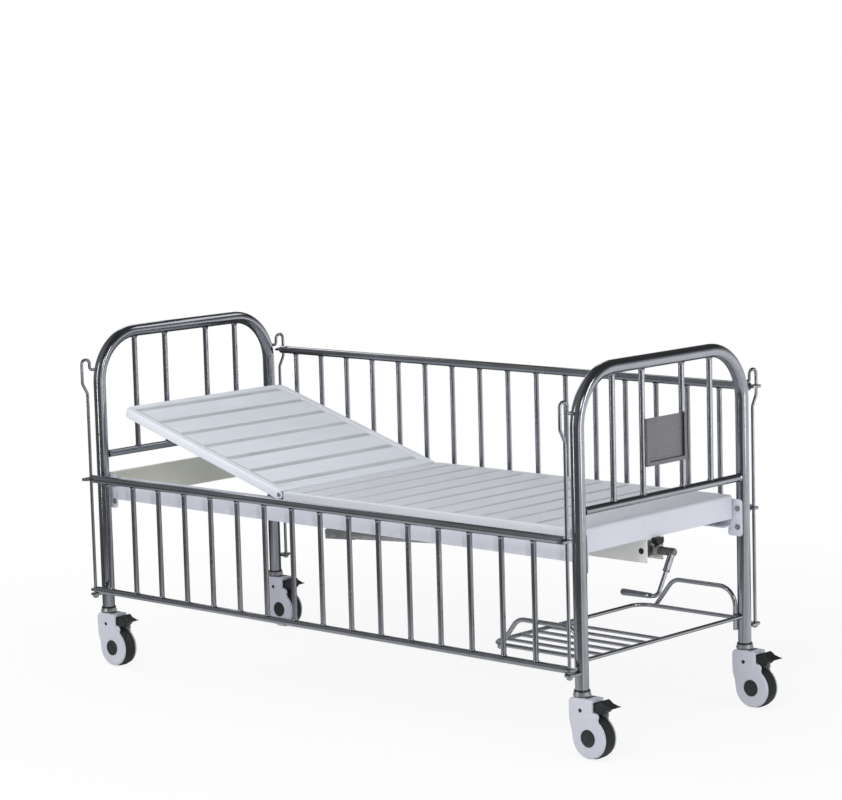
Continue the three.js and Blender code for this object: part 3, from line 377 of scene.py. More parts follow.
def smooth_for(node, shape, finish, body):
    """The smooth piece that stands for one node of the frame."""
    make(f"{node}_smooth", shape, finish, body, [node])


# Finishes

def new_group(name, inputs, outputs):
    """An empty shader group: a Vector input, number inputs with their defaults, and number outputs."""
    group = bpy.data.node_groups.new(name, "ShaderNodeTree")
    group.interface.new_socket("Vector", in_out="INPUT", socket_type="NodeSocketVector")
    for label, value in inputs.items():
        socket = group.interface.new_socket(label, in_out="INPUT", socket_type="NodeSocketFloat")
        socket.default_value = value
    for label in outputs:
        group.interface.new_socket(label, in_out="OUTPUT", socket_type="NodeSocketFloat")
    return group, group.nodes.new("NodeGroupInput"), group.nodes.new("NodeGroupOutput")


def math_node(tree, operation, a, b=None, clamp=False):
    """A Math node whose inputs are sockets or numbers."""
    node = tree.nodes.new("ShaderNodeMath")
    node.operation = operation
    node.use_clamp = clamp
    for i, value in enumerate((a, b)):
        if isinstance(value, (int, float)):
            node.inputs[i].default_value = value
        elif value is not None:
            tree.links.new(value, node.inputs[i])
    return node.outputs[0]


def noise_node(tree, vector, scale, detail=3.0, roughness=0.55):
    """A noise texture's value on the given coordinates."""
    node = tree.nodes.new("ShaderNodeTexNoise")
    node.inputs["Detail"].default_value = detail
    node.inputs["Roughness"].default_value = roughness
    if isinstance(scale, (int, float)):
        node.inputs["Scale"].default_value = scale
    else:
        tree.links.new(scale, node.inputs["Scale"])
    tree.links.new(vector, node.inputs["Vector"])
    return node.outputs["Fac"]


def mottle_group():
    """Slow and fine noise mixed into one value about 0, and a bump height from the fine noise."""
    numbers = {"Patch Scale": 6.0, "Grain Scale": 300.0, "Patch Share": 0.6}
    group, enter, leave = new_group("mottle", numbers, ["Value", "Height"])
    patch = noise_node(group, enter.outputs["Vector"], enter.outputs["Patch Scale"], detail=4)
    grain = noise_node(group, enter.outputs["Vector"], enter.outputs["Grain Scale"], detail=2)
    share = enter.outputs["Patch Share"]
    slow = math_node(group, "MULTIPLY", math_node(group, "SUBTRACT", patch, 0.5), share)
    rest = math_node(group, "SUBTRACT", 1.0, share)
    fast = math_node(group, "MULTIPLY", math_node(group, "SUBTRACT", grain, 0.5), rest)
    group.links.new(math_node(group, "ADD", slow, fast), leave.inputs["Value"])
    group.links.new(grain, leave.inputs["Height"])
    return group


def scuff_group():
    """Sparse fine scratches: (1 - |noise - 0.5|)^60, thin lines at the noise's middle, kept in patches."""
    group, enter, leave = new_group("scuffs", {"Scale": 40.0, "Amount": 0.4}, ["Mask"])
    lines = noise_node(group, enter.outputs["Vector"], enter.outputs["Scale"], detail=6, roughness=0.7)
    away = math_node(group, "ABSOLUTE", math_node(group, "SUBTRACT", lines, 0.5))
    ridge = math_node(group, "SUBTRACT", 1.0, away)
    sharp = math_node(group, "POWER", ridge, 60.0)
    where = noise_node(group, enter.outputs["Vector"], 5.0, detail=2)
    gate = math_node(group, "MULTIPLY", math_node(group, "SUBTRACT", where, 0.5, True), 6.0, True)
    broken = math_node(group, "MULTIPLY", sharp, gate)
    mask = math_node(group, "MULTIPLY", broken, enter.outputs["Amount"], True)
    group.links.new(mask, leave.inputs["Mask"])
    return group


def dust_group():
    """Floor dust: full at the floor and fading upwards over a stated height, broken up by noise."""
    group, enter, leave = new_group("floor_dust", {"Height": 0.1, "Amount": 0.3}, ["Mask"])
    split = group.nodes.new("ShaderNodeSeparateXYZ")
    group.links.new(enter.outputs["Vector"], split.inputs[0])
    share = math_node(group, "DIVIDE", split.outputs["Z"], enter.outputs["Height"])
    low = math_node(group, "SUBTRACT", 1.0, share, True)
    grain = noise_node(group, enter.outputs["Vector"], 45.0, detail=4)
    broken = math_node(group, "MULTIPLY", low, grain)
    mask = math_node(group, "MULTIPLY", broken, enter.outputs["Amount"], True)
    group.links.new(mask, leave.inputs["Mask"])
    return group


MOTTLE, SCUFFS, DUST = mottle_group(), scuff_group(), dust_group()
DUST_COLOUR = (0.42, 0.41, 0.40)


class Finish:
    """One material: a Principled shader fed by placed groups on Object coordinates."""

    def __init__(self, name, **sockets):
        self.material = bpy.data.materials.new(name)
        self.material.use_nodes = True
        self.tree = self.material.node_tree
        self.shader = self.tree.nodes["Principled BSDF"]
        self.coords = self.tree.nodes.new("ShaderNodeTexCoord").outputs["Object"]
        for label, value in sockets.items():
            self.shader.inputs[label.replace("_", " ")].default_value = value

    def place(self, group, **values):
        """The outputs of a shared group, fed with Object coordinates unless a vector is given."""
        node = self.tree.nodes.new("ShaderNodeGroup")
        node.node_tree = group
        self.tree.links.new(values.pop("vector", self.coords), node.inputs["Vector"])
        for label, value in values.items():
            node.inputs[label.replace("_", " ").title()].default_value = value
        return node.outputs

    def stretched(self, scale):
        """Object coordinates times a scale along each axis."""
        node = self.tree.nodes.new("ShaderNodeMapping")
        node.inputs["Scale"].default_value = scale
        self.tree.links.new(self.coords, node.inputs["Vector"])
        return node.outputs[0]

    def ramp(self, value, stops):
        """A colour from a value, by stops of (place, colour)."""
        node = self.tree.nodes.new("ShaderNodeValToRGB")
        ramp = node.color_ramp
        while len(ramp.elements) < len(stops):
            ramp.elements.new(0.5)
        for element, (at, colour) in zip(ramp.elements, stops):
            element.position = at
            element.color = (*colour, 1)
        self.tree.links.new(value, node.inputs["Fac"])
        return node.outputs["Color"]

    def mix(self, factor, a, b):
        """From colour a to colour b by a factor; each is a socket or three numbers."""
        node = self.tree.nodes.new("ShaderNodeMix")
        node.data_type = "RGBA"
        self.tree.links.new(factor, node.inputs["Factor"])
        for socket, value in ((node.inputs[6], a), (node.inputs[7], b)):
            if isinstance(value, tuple):
                socket.default_value = (*value, 1)
            else:
                self.tree.links.new(value, socket)
        return node.outputs[2]

    def around(self, value, middle, swing):
        """middle + swing times a value that lies about 0."""
        return math_node(self.tree, "ADD", math_node(self.tree, "MULTIPLY", value, swing), middle, True)

    def bump(self, height, strength, distance):
        """Bends the shader's normal by a height."""
        node = self.tree.nodes.new("ShaderNodeBump")
        node.inputs["Strength"].default_value = strength
        node.inputs["Distance"].default_value = distance
        self.tree.links.new(height, node.inputs["Height"])
        self.link(node.outputs[0], "Normal")

    def link(self, socket, label):
        """Feeds one of the shader's own sockets."""
        self.tree.links.new(socket, self.shader.inputs[label])


def polished_steel(name, pale, deep):
    """Mirror-polished stainless tube: slow tone drift, a faint grain and a few scuffs in the roughness."""
    f = Finish(name, Metallic=1.0, Roughness=0.14)
    mottle = f.place(MOTTLE, patch_scale=9.0, grain_scale=420.0, patch_share=0.8)
    scuff = f.place(SCUFFS, scale=60.0, amount=0.5)
    tone = f.around(mottle["Value"], 0.5, 1.2)
    colour = f.ramp(tone, [(0.2, deep), (0.8, pale)])
    f.link(f.mix(scuff["Mask"], colour, (0.46, 0.47, 0.49)), "Base Color")
    rough = f.around(mottle["Value"], 0.15, 0.12)
    f.link(math_node(f.tree, "ADD", rough, math_node(f.tree, "MULTIPLY", scuff["Mask"], 0.25)), "Roughness")
    f.bump(mottle["Height"], 0.04, 0.0002)
    return f.material


def brushed_plate():
    """Brushed sheet: long horizontal grain across Y in tone, roughness and bump."""
    f = Finish("brushed_stainless", Metallic=0.7, Roughness=0.45)
    lines = noise_node(f.tree, f.stretched((40, 6, 900)), 1.0, roughness=0.6)
    mottle = f.place(MOTTLE, patch_scale=14.0, grain_scale=300.0, patch_share=0.7)
    tone = math_node(f.tree, "ADD", lines, mottle["Value"])
    f.link(f.ramp(tone, [(0.25, (0.135, 0.133, 0.144)), (0.75, (0.205, 0.203, 0.214))]), "Base Color")
    f.link(f.around(mottle["Value"], 0.42, 0.3), "Roughness")
    f.bump(lines, 0.15, 0.0003)
    return f.material


def powder_coat(name, pale, deep, roughness, painted_shade_colour=None):
    """Powder coat: orange-peel bump, cloudy tone between two close colours and rubbed scuffs. A darker colour
    is mixed in as painted shade where the point attribute groove is set, broken up by the cloudy noise."""
    f = Finish(name, Roughness=roughness, Specular_IOR_Level=0.4)
    mottle = f.place(MOTTLE, patch_scale=5.0, grain_scale=700.0, patch_share=0.75)
    scuff = f.place(SCUFFS, vector=f.stretched((1, 1, 3)), scale=22.0, amount=0.35)
    colour = f.ramp(f.around(mottle["Value"], 0.5, 1.3), [(0.15, deep), (0.85, pale)])
    colour = f.mix(scuff["Mask"], colour, tuple(0.78 * c for c in deep))
    # Painted shade: a darker colour mixed in where the point attribute groove is set
    if painted_shade_colour:
        painted_shade_weight = f.tree.nodes.new("ShaderNodeAttribute")
        painted_shade_weight.attribute_name = "groove"
        broken = f.around(mottle["Value"], 0.62, 1.2)
        colour = f.mix(math_node(f.tree, "MULTIPLY", painted_shade_weight.outputs["Fac"], broken), colour, painted_shade_colour)
    f.link(colour, "Base Color")
    f.link(f.around(mottle["Value"], roughness, 0.25), "Roughness")
    f.bump(mottle["Height"], 0.12, 0.0004)
    return f.material


def zinc_plate(name, pale, deep):
    """Zinc plated steel: spangle cells in tone over a fine grain."""
    f = Finish(name, Metallic=0.9, Roughness=0.4)
    cells = f.tree.nodes.new("ShaderNodeTexVoronoi")
    cells.inputs["Scale"].default_value = 160.0
    f.tree.links.new(f.coords, cells.inputs["Vector"])
    grey = f.tree.nodes.new("ShaderNodeRGBToBW")
    f.tree.links.new(cells.outputs["Color"], grey.inputs[0])
    f.link(f.ramp(grey.outputs[0], [(0.1, deep), (0.9, pale)]), "Base Color")
    mottle = f.place(MOTTLE, patch_scale=25.0, grain_scale=500.0)
    f.link(f.around(mottle["Value"], 0.4, 0.35), "Roughness")
    f.bump(mottle["Height"], 0.1, 0.0003)
    return f.material


def moulded(name, pale, deep, roughness, grain, dust=0.25, dust_height=0.16, gloss=0.45):
    """Moulded plastic or rubber: fine moulding grain, cloudy tone, scuffs and dust near the floor."""
    f = Finish(name, Roughness=roughness, Specular_IOR_Level=gloss)
    mottle = f.place(MOTTLE, patch_scale=18.0, grain_scale=900.0, patch_share=0.6)
    scuff = f.place(SCUFFS, scale=70.0, amount=0.4)
    dirt = f.place(DUST, height=dust_height, amount=dust)
    colour = f.ramp(f.around(mottle["Value"], 0.5, 1.4), [(0.15, deep), (0.85, pale)])
    worn = f.mix(scuff["Mask"], colour, tuple(0.5 * c + 0.18 for c in pale))
    f.link(f.mix(dirt["Mask"], worn, DUST_COLOUR), "Base Color")
    f.link(f.around(mottle["Value"], roughness, 0.3), "Roughness")
    f.bump(mottle["Height"], grain, 0.0004)
    return f.material


# Painted reflection: both steels are toned far darker than bare polished metal, standing in for the dim room
# they mirror
STEEL = polished_steel("polished_stainless", (0.32, 0.331, 0.357), (0.225, 0.236, 0.262))
WIRE = polished_steel("bright_wire", (0.40, 0.41, 0.43), (0.29, 0.30, 0.32))
PLATE = brushed_plate()
PAINT = powder_coat("lavender_powder_coat", (0.72, 0.735, 0.81), (0.645, 0.66, 0.74), roughness=0.42)
# The last colour given to the deck and backrest is painted shade, laid into their grooves, the backrest's
# border line and the deck's skirt
DECK = powder_coat("deck_powder_coat", (0.72, 0.742, 0.79), (0.646, 0.673, 0.715), roughness=0.4,
                   painted_shade_colour=(0.29, 0.315, 0.315))
# Painted light: the backrest is the deck's paint made paler, since it faces the light more
REST = powder_coat("backrest_powder_coat_painted_light", (0.82, 0.852, 0.915), (0.746, 0.778, 0.836), roughness=0.4,
                   painted_shade_colour=(0.34, 0.365, 0.38))
# Painted shade: the head cross member is a pale plate given the grey-beige tone it shows in shade under the
# backrest
HEAD = powder_coat("grey_beige_painted_shade", (0.70, 0.70, 0.635), (0.50, 0.51, 0.42), roughness=0.35)
# Painted light: the crank channel's own beige is made paler than the frame paint, to make up for the shade it
# sits in
BEIGE = powder_coat("beige_enamel_painted_light", (0.88, 0.88, 0.85), (0.77, 0.775, 0.735), roughness=0.38)
ZINC = zinc_plate("zinc_plate", (0.42, 0.425, 0.43), (0.28, 0.285, 0.29))
DULL = zinc_plate("dull_zinc_plate", (0.20, 0.20, 0.19), (0.10, 0.10, 0.095))
OILED = zinc_plate("oiled_zinc_plate", (0.085, 0.09, 0.10), (0.045, 0.048, 0.055))
WHITE = moulded("white_caster_plastic", (0.57, 0.58, 0.655), (0.50, 0.51, 0.58), roughness=0.38, grain=0.1)
BLACK = moulded("black_plastic", (0.022, 0.024, 0.027), (0.012, 0.013, 0.015), roughness=0.45, grain=0.2,
                dust=0.05, gloss=0.2)
RUBBER = moulded("caster_rubber", (0.028, 0.032, 0.032), (0.017, 0.020, 0.020), roughness=0.7, grain=0.3,
                 dust=0.16, dust_height=0.04, gloss=0.2)

for node, finish in {
    "card_holder": PLATE, "near_side_member": PAINT, "far_side_member": PAINT, "head_cross_member": HEAD,
    "foot_apron": PAINT, "hinge_beam": PAINT, "crank_channel": BEIGE, "backrest_stiffener": PAINT,
    "hinge_bracket_near": ZINC, "hinge_bracket_far": ZINC, "lift_lever": ZINC, "thrust_block": ZINC,
    "drive_screw": ZINC, "crank_bearing": ZINC, "bearing_block": BLACK,
    **{f"{corner}_corner_bracket": PAINT for corner in CORNERS},
}.items():
    nodes[node].data.materials.clear()
    nodes[node].data.materials.append(finish)


# End frames: one bent tube each, with a welded grille inside it
for end, x in (("head", -LEG_X), ("foot", LEG_X)):
    outline = [(x, -LEG_Y, LEG_LOW), (x, -LEG_Y, END_TOP), (x, LEG_Y, END_TOP), (x, LEG_Y, LEG_LOW)]
    bow = tube(outline, (END_BEND, END_BEND), LEG_R, sides=36)
    smooth_for(f"{end}_end_tube", bow, STEEL, "frame")
    rail = welded_bar((x, LEG_R - LEG_Y, GRILLE_Z), (x, LEG_Y - LEG_R, GRILLE_Z), GRILLE_R, bead=2.0)
    posts = [welded_bar((x, y, GRILLE_Z + GRILLE_R - WELD_IN), (x, y, END_TOP - LEG_R + WELD_IN), POST_R)
             for y in POST_YS]
    smooth_for(f"{end}_grille", combine(rail, *posts), STEEL, "frame")

# Drop sides: bars, balusters with weld beads and the eyes that run on the guide rods
for side, sign, lift in (("near", -1, 0.0), ("far", 1, RAIL_TRAVEL)):
    y, low, high = sign * RAIL_Y, RAIL_LOW + lift, RAIL_LOW + RAIL_HEIGHT + lift
    reach = LEG_X - BAR_SHORT
    pieces = [tube([(-reach, y, z), (reach, y, z)], (), radius, sides=28)
              for z, radius in ((high, TOP_BAR_R), (low, LOW_BAR_R))]
    bottom, top = low + LOW_BAR_R - WELD_IN, high - TOP_BAR_R + WELD_IN
    pieces += [welded_bar((x, y, bottom), (x, y, top), BALUSTER_R, bead=1.3, run=2.5)
               for x in BALUSTER_MIDDLE + (np.arange(BALUSTERS) - (BALUSTERS - 1) / 2) * BALUSTER_PITCH]
    for end in (-1, 1):
        for z, bulge in ((high, ROD_BULGE), (low, 0.01)):
            eye = eye_ring(0, bulge, 0, outer=12, inner=4.8, low=z - 3, high=z + 3)
            pieces.append(moved(eye, (end * LEG_X, y, 0), quarter_turn(sign)))
    smooth_for(f"{side}_side_rail", combine(*pieces), STEEL, f"{side}_rail")

# Guide rods: the bulge and loop at the top, the foot plate at the bottom
for corner, (sx, sy) in CORNERS.items():
    x = sx * LEG_X
    path = [(0, 181.2), (0, 715), (ROD_BULGE, 742), (ROD_BULGE, 803), (-10.5, 803), (-10.5, 776),
            (-25.7, 776)]
    rod = tube([(x, sy * (RAIL_Y + out), z) for out, z in path], (20, 20, 12, 12, 8), radius=4.0, sides=20)
    plate = np.concatenate([[(-25.4, -ROD_PLATE_R)], arc(0, 0, ROD_PLATE_R, -90, 90, 17),
                            [(-25.4, ROD_PLATE_R)]])
    foot = slab(plate, ROD_PLATE_LOW, ROD_PLATE_HIGH, 1.0, FLAT)
    foot = moved(foot, (x, sy * RAIL_Y, 0), quarter_turn(sy))
    smooth_for(f"{corner}_guide_rod", combine(rod, foot), STEEL, "frame")


# Nuts under the foot plates of the guide rods
def foot_nut(x, y, z):
    """A hexagon nut hung under a face, with a washer."""
    washer = ring_lathe([(4.2, 0), (8.5, 0), (8.5, -1.4), (4.2, -1.4)], (x, y, z), ALONG_Z, 28)
    hexagon = slab(arc(0, 0, 7.2, 0, 300, 6), z - 6.4, z - 1.2, 0.8, FLAT)
    return combine(washer, moved(hexagon, (x, y, 0)))


for corner, (sx, sy) in CORNERS.items():
    nut = foot_nut(sx * LEG_X, sy * RAIL_Y, ROD_PLATE_LOW)
    make(f"{corner}_guide_nut", nut, ZINC, "frame")

# Pressed deck and backrest
deck_grooves = -101.5 + 83.5 * np.arange(10)
deck, deck_shade = pressed_panel(-159.5, 757.7, DECK_TOP, r_low=8, r_high=8, groove_xs=deck_grooves,
                                 groove_half=10.5, groove_deep=3.2, reach=264.0)
make("fixed_deck_pressed", deck, DECK, "frame", ["fixed_deck"], share=deck_shade, wall=True)
rest_grooves = -49.0 - 85.7 * np.arange(7)
rest, rest_shade = pressed_panel(-594.0, -4.0, DECK_TOP - HINGE_Z, r_low=26, r_high=8, groove_xs=rest_grooves,
                                 groove_half=13.0, groove_deep=2.8, reach=246.0, line_deep=1.4,
                                 open_foot=True)
EAR = 3
ears = [ring_lathe([(4.3, 0), (8, 0), (8, EAR), (4.3, EAR)], (0, y, 0), ALONG_Y)
        for y in (-PANEL_HALF, PANEL_HALF - EAR)]
raised = moved(combine(rest, *ears), (HINGE_X, 0, HINGE_Z), turn_y(BACKREST_REST))
ear_points = len(raised[0]) - len(rest_shade)
make("backrest_pressed", raised, REST, "backrest", ["backrest_panel"],
     share=np.concatenate([rest_shade, np.zeros(ear_points)]), wall=True)

# Crank: hub with a handle sleeve, folding handle and turning grip, drawn hanging down and then swung to rest
swing = turn_x(ARM_SWING)
at_crank = (0, CRANK_Y, CRANK_Z)
hub = lathe([(0, 786.2), (9.6, 786.2), (10, 786.8), (10, 803), (9.5, 804), (9.5, 838), (8.4, 841.4),
             (6.5, 842), (0, 842)], ORIGIN, ALONG_X)
sleeve = lathe([(0, 0), (8, 0), (8, 44), (8.8, 45), (8.8, 47), (7.6, 48), (5.4, 48), (5.4, 46), (0, 46)],
               (ARM_X, 0, 0), (0, 0, -1))
smooth_for("crank_hub", moved(hub, at_crank, swing), DULL, "crank")
make("crank_sleeve", moved(sleeve, at_crank, swing), STEEL, "crank")
handle = tube([(ARM_X, 0, -22), (ARM_X, 0, ARM_END), (731, 0, ARM_END)], (14,), radius=5.0)
make("crank_handle_smooth", moved(handle, at_crank, swing), STEEL, "crank_handle", ["crank_handle_rod"])
grip = ring_lathe([(5.5, 0), (5.9, 0), (6.4, 1.2), (6.6, 14), (7.2, 44), (7.9, 76), (7.8, 81.5), (6.8, 84),
                   (5.5, 84)], (815, 0, ARM_END), (-1, 0, 0))
smooth_for("crank_grip", moved(grip, at_crank, swing), STEEL, "grip")

# Wire rack: frame rod with round corners, outer rod, slats under the near half and the two hoops
rack = [tube([(LEG_X, -RACK_SIDE, RACK_Z), (RACK_INNER, -RACK_SIDE, RACK_Z), (RACK_INNER, RACK_SIDE, RACK_Z),
              (LEG_X, RACK_SIDE, RACK_Z)], (40, 40), radius=5.0, sides=20),
        welded_bar((LEG_X, LEG_R - LEG_Y, RACK_Z), (LEG_X, LEG_Y - LEG_R, RACK_Z), radius=5.0)]
rack += [welded_bar((RACK_INNER, y, RACK_Z), (LEG_X, y, RACK_Z), radius=4.0, bead=1.0, run=2.0)
         for y in -RACK_SIDE + 52 * np.arange(1, 6)]
smooth_for("rack_grid", combine(*rack), WIRE, "frame")
for side, sign in (("near", -1), ("far", 1)):
    y = sign * (LEG_Y - LEG_R)
    hoop = [(542.5, y, 212), (601, y, 286), (784.9, y, 286), (784.9, y, 184)]
    hoop = tube(hoop, (40, 45), radius=5.5, sides=20)
    smooth_for(f"rack_hoop_{side}", hoop, WIRE, "frame")


# Push tube: round tube with a hexagonal nut and a fork, drawn along -X from the trunnion and tilted to rest
def push_tube():
    """Tube, nut and fork of the lift drive in its own line, then tilted from trunnion to lever eye."""
    eye = turn_y(BACKREST_REST) @ np.array([-49.0, 0, -165.0]) + [HINGE_X, 0, HINGE_Z]
    pivot = np.array([TRUNNION_X, 0, CRANK_Z])
    away = eye - pivot
    length = np.linalg.norm(away)
    nut = slab(arc(0, 0, 17, 30, 330, 6), -256, -230, 1.5, axes=(1, 2, 0))
    base, tip, outer, inner = 82 - length, -length - 12, 10.2, 5.2
    bore, wall, start, end = 8.5, 12, -253, base + 4
    pipe = ring_lathe([(bore, start), (wall, start), (wall, end), (bore, end)], ORIGIN, ALONG_X)
    fork = np.array([(base + 8, -outer), (base + 8, outer), (tip, outer), (tip, inner), (base, inner),
                     (base, -inner), (tip, -inner), (tip, -outer)])
    prongs = slab(fork, -12, 12, 0.8, FLAT)
    tilt = turn_y(math.atan2(away[2], -away[0]))
    return moved(combine(nut, pipe, prongs), pivot + [0, CRANK_Y, 0], tilt)


smooth_for("push_tube", push_tube(), ZINC, "pusher")

# Dark caps over the trunnion's holes in the crank channel
cap = [(0, 3.2), (4.5, 3.0), (6.2, 2.2), (7.2, 0.8), (7.2, 0), (0, 0)]
caps = [lathe(cap, (TRUNNION_X, CRANK_Y + side * 31, CRANK_Z), (0, side, 0), 28) for side in (-1, 1)]
make("trunnion_caps", combine(*caps), BLACK, "frame")

# Casters: drawn once about a leg axis at floor level and placed at each corner
HUB_X, HUB_Z = 33.0, 50.0
CHEEK_IN, CHEEK_OUT, BRIDGE_HALF = 16.5, 23.2, 17.5
SOFT_RIM, CRISP_RIM = (7, 5), (0.6, 0.6)
FRONT = np.concatenate([arc(-11, 126, 12, 90, 180, 10), arc(57, 96, 80, 180, 204, 8)])
CHEEK = np.concatenate([[(45, 138)], FRONT, arc(HUB_X, HUB_Z, 47, 186, 414, 60), arc(52, 100, 9, -40, 90, 12),
                        [(45, 109.5)]])
BRIDGE = np.concatenate([[(27, 138)], FRONT, arc(HUB_X, HUB_Z, 51, 160, 97, 16)])
ROOF = np.array([(45, 131), (45, 138), (20, 138), (20, 131)])
PEDAL = np.array([(30, 112), (46, 112), (52, 106), (62, 105.5), (70, 110), (77, 117.5), (89, 121.4),
                  (101, 125), (92, 126.4), (84, 128.6), (77, 130.6), (70, 136), (66, 138), (61, 136.5),
                  (54, 131), (48, 128.5), (30, 128)])
cheeks = [slab(CHEEK, -CHEEK_OUT, -CHEEK_IN, low_rim=SOFT_RIM, high_rim=CRISP_RIM, steps=8),
          slab(CHEEK, CHEEK_IN, CHEEK_OUT, low_rim=CRISP_RIM, high_rim=SOFT_RIM, steps=8)]
housing = combine(*cheeks, *[slab(outline, -BRIDGE_HALF, BRIDGE_HALF, 0.8) for outline in (BRIDGE, ROOF)])
stem = lathe([(0, 180), (14, 180), (14, 144.7), (18, 144.7), (19, 143.7), (19, 139.7), (18, 138.7),
              (6, 138.7), (6, 116.7), (0, 116.7)], ORIGIN, ALONG_Z)
FERRULE_BORE = LEG_R + 0.3
lip = ring_lathe([(FERRULE_BORE, 149.4), (19, 149.4), (18.4, 152.4), (17.2, 153.6), (FERRULE_BORE, 153.6)],
                 ORIGIN, ALONG_Z)
ferrule = ring_lathe([(FERRULE_BORE, 140), (20.5, 140), (21, 140.8), (20.6, 143), (18.6, 149.2),
                      (FERRULE_BORE, 149.2)], ORIGIN, ALONG_Z)
tyre_side = [(4.4, 12), (31, 12), (34, 14.5), (41, 15.5), (45, 15.3), (48, 13), (49.3, 8.5)]
tyre = [(r, -y) for r, y in tyre_side] + [(49.55, 0)] + tyre_side[::-1]
tyre = ring_lathe(tyre, (HUB_X, 0, HUB_Z), ALONG_Y, 72)
cap_side = [(0, 25.2), (6, 25.3), (7.5, 24.7), (14, 24.6), (15.5, 25.6), (18, 25.7), (20, 24.2), (20, 22.3),
            (4, 22.3), (4, 0)]
axle = combine(*[lathe(cap_side, (HUB_X, 0, HUB_Z), (0, side, 0)) for side in (1, -1)])
ribs = [slab(np.array([(x, z), (x + 2.4, z - 0.6), (x + 2.4, z + 0.6), (x, z + 1.2)]), -11, 11, 0.4)
        for x, z in ((79.5, 129.2), (84.5, 127.8), (89.5, 126.4))]
pedal = combine(slab(PEDAL, -14.5, 14.5, 1.8), *ribs)
pin = lathe([(0, -21.9), (3, -21.9), (3, 21.9), (0, 21.9)], (36, 0, 119), ALONG_Y, 20)
screw_head = [(0, 0.9), (1.6, 0.2), (2.4, 1.0), (3.8, 0.9), (4.7, 0.2), (4.7, -1.6), (0, -1.6)]
for corner, (sx, sy) in CORNERS.items():
    at, swivel = (sx * LEG_X, sy * LEG_Y, 0), f"{corner}_caster"
    smooth_for(f"{corner}_caster_stem", moved(combine(stem, lip), at), OILED, "frame")
    make(f"{corner}_stem_ferrule", moved(ferrule, at), ZINC, "frame")
    smooth_for(f"{corner}_caster_housing", moved(housing, at), WHITE, swivel)
    smooth_for(f"{corner}_caster_axle", moved(axle, at), BLACK, swivel)
    smooth_for(f"{corner}_caster_wheel", moved(tyre, at), RUBBER, f"{corner}_wheel")
    lever = moved(combine(pedal, pin), at)
    smooth_for(f"{corner}_brake_pedal", lever, BLACK, f"{corner}_pedal")
    heads = [lathe(screw_head, (12, side * CHEEK_OUT, 111), (0, side, 0), 24) for side in (-1, 1)]
    make(f"{corner}_caster_screws", moved(combine(*heads), at), BLACK, swivel)


# Bolts of the corner plates: two into the side member from outside and two into the leg from inside
def bolt(x, face, z, out):
    """A hexagon head with a washer that stands on a face across Y and points towards out."""
    washer = lathe([(0, 0), (7, 0), (7, 0.8), (6.4, 1.2), (0, 1.2)], (x, face, z), (0, out, 0), 24)
    level = sorted((face + out * 1.0, face + out * 5.0))
    head = moved(slab(arc(0, 0, 5.2, 0, 300, 6), level[0], level[1], 0.6), (x, 0, z))
    return combine(washer, head)


MEMBER_BOLTS = (776.5, 286.7, 1, (430, 474))
LEG_BOLTS = (798, 283.3, -1, (434, 478))
for corner, (sx, sy) in CORNERS.items():
    bolts = [bolt(sx * x, sy * face, z, sy * out)
             for x, face, out, heights in (MEMBER_BOLTS, LEG_BOLTS) for z in heights]
    make(f"{corner}_plate_bolts", combine(*bolts), ZINC, "frame")


# Studio: pale floor, white backdrop, soft lamps and a camera at the photographed angle
STUDIO_BACK = (-0.683, 0.731, 0.0)  # to the white sweep behind the cot
BRIGHT_SIDE = (0.573, 0.820, 0.0)  # to the pale wall that polished tube mirrors
DIM_SIDE = (-0.54, 0.84, 0.0)  # to a dim stretch of floor behind the head end
ROOM_STOPS = ((0.38, 0.125), (0.52, 0.18), (0.59, 1.0), (0.68, 0.60), (1.0, 0.54))
WALL_LIGHT, FLOOR_HALF, FLOOR_TONE = 1.4, 30.0, 0.92


def seen_by(tree, *labels):
    """1 for the kinds of ray named, from Light Path."""
    path = tree.nodes.new("ShaderNodeLightPath")
    seen = path.outputs[labels[0]]
    for label in labels[1:]:
        seen = math_node(tree, "MAXIMUM", seen, path.outputs[label])
    return seen


def rising(tree, value, start, end, low, high):
    """A smooth step from low to high while a value runs from start to end."""
    node = tree.nodes.new("ShaderNodeMapRange")
    node.interpolation_type = "SMOOTHSTEP"
    for label, number in (("From Min", start), ("From Max", end), ("To Min", low), ("To Max", high)):
        node.inputs[label].default_value = number
    tree.links.new(value, node.inputs["Value"])
    return node.outputs["Result"]


def vector_node(tree, operation, a, b=None):
    """A Vector Math node's value, with an optional constant second vector."""
    node = tree.nodes.new("ShaderNodeVectorMath")
    node.operation = operation
    tree.links.new(a, node.inputs[0])
    if b is not None:
        node.inputs[1].default_value = b
    return node.outputs["Value"]


def blend(tree, factor, a, b, out):
    """Gives the output shader a, turning to shader b by a factor."""
    mix = tree.nodes.new("ShaderNodeMixShader")
    for socket, end in zip((factor, a.outputs[0], b.outputs[0]), mix.inputs):
        tree.links.new(socket, end)
    tree.links.new(mix.outputs[0], out.inputs["Surface"])


def room_level(tree, bright, back):
    """The light that polished tube finds level with it, from the cosines towards the bright side and the
    back: a dim room on the head side, a window's edge, a pale wall on the foot side and the white sweep."""
    ramp = tree.nodes.new("ShaderNodeValToRGB")
    half = math_node(tree, "MULTIPLY", bright, 0.5)
    tree.links.new(math_node(tree, "ADD", half, 0.5), ramp.inputs["Fac"])
    stops = ramp.color_ramp.elements
    for place, level in ROOM_STOPS:
        stop = stops.new(place)
        stop.color = (level, level, level, 1)
    stops.remove(stops[0])
    stops.remove(stops[len(stops) - 1])
    wall = math_node(tree, "MULTIPLY", ramp.outputs["Color"], WALL_LIGHT)
    return math_node(tree, "MAXIMUM", wall, rising(tree, back, 0.5, 0.9, 0.0, 1.0))


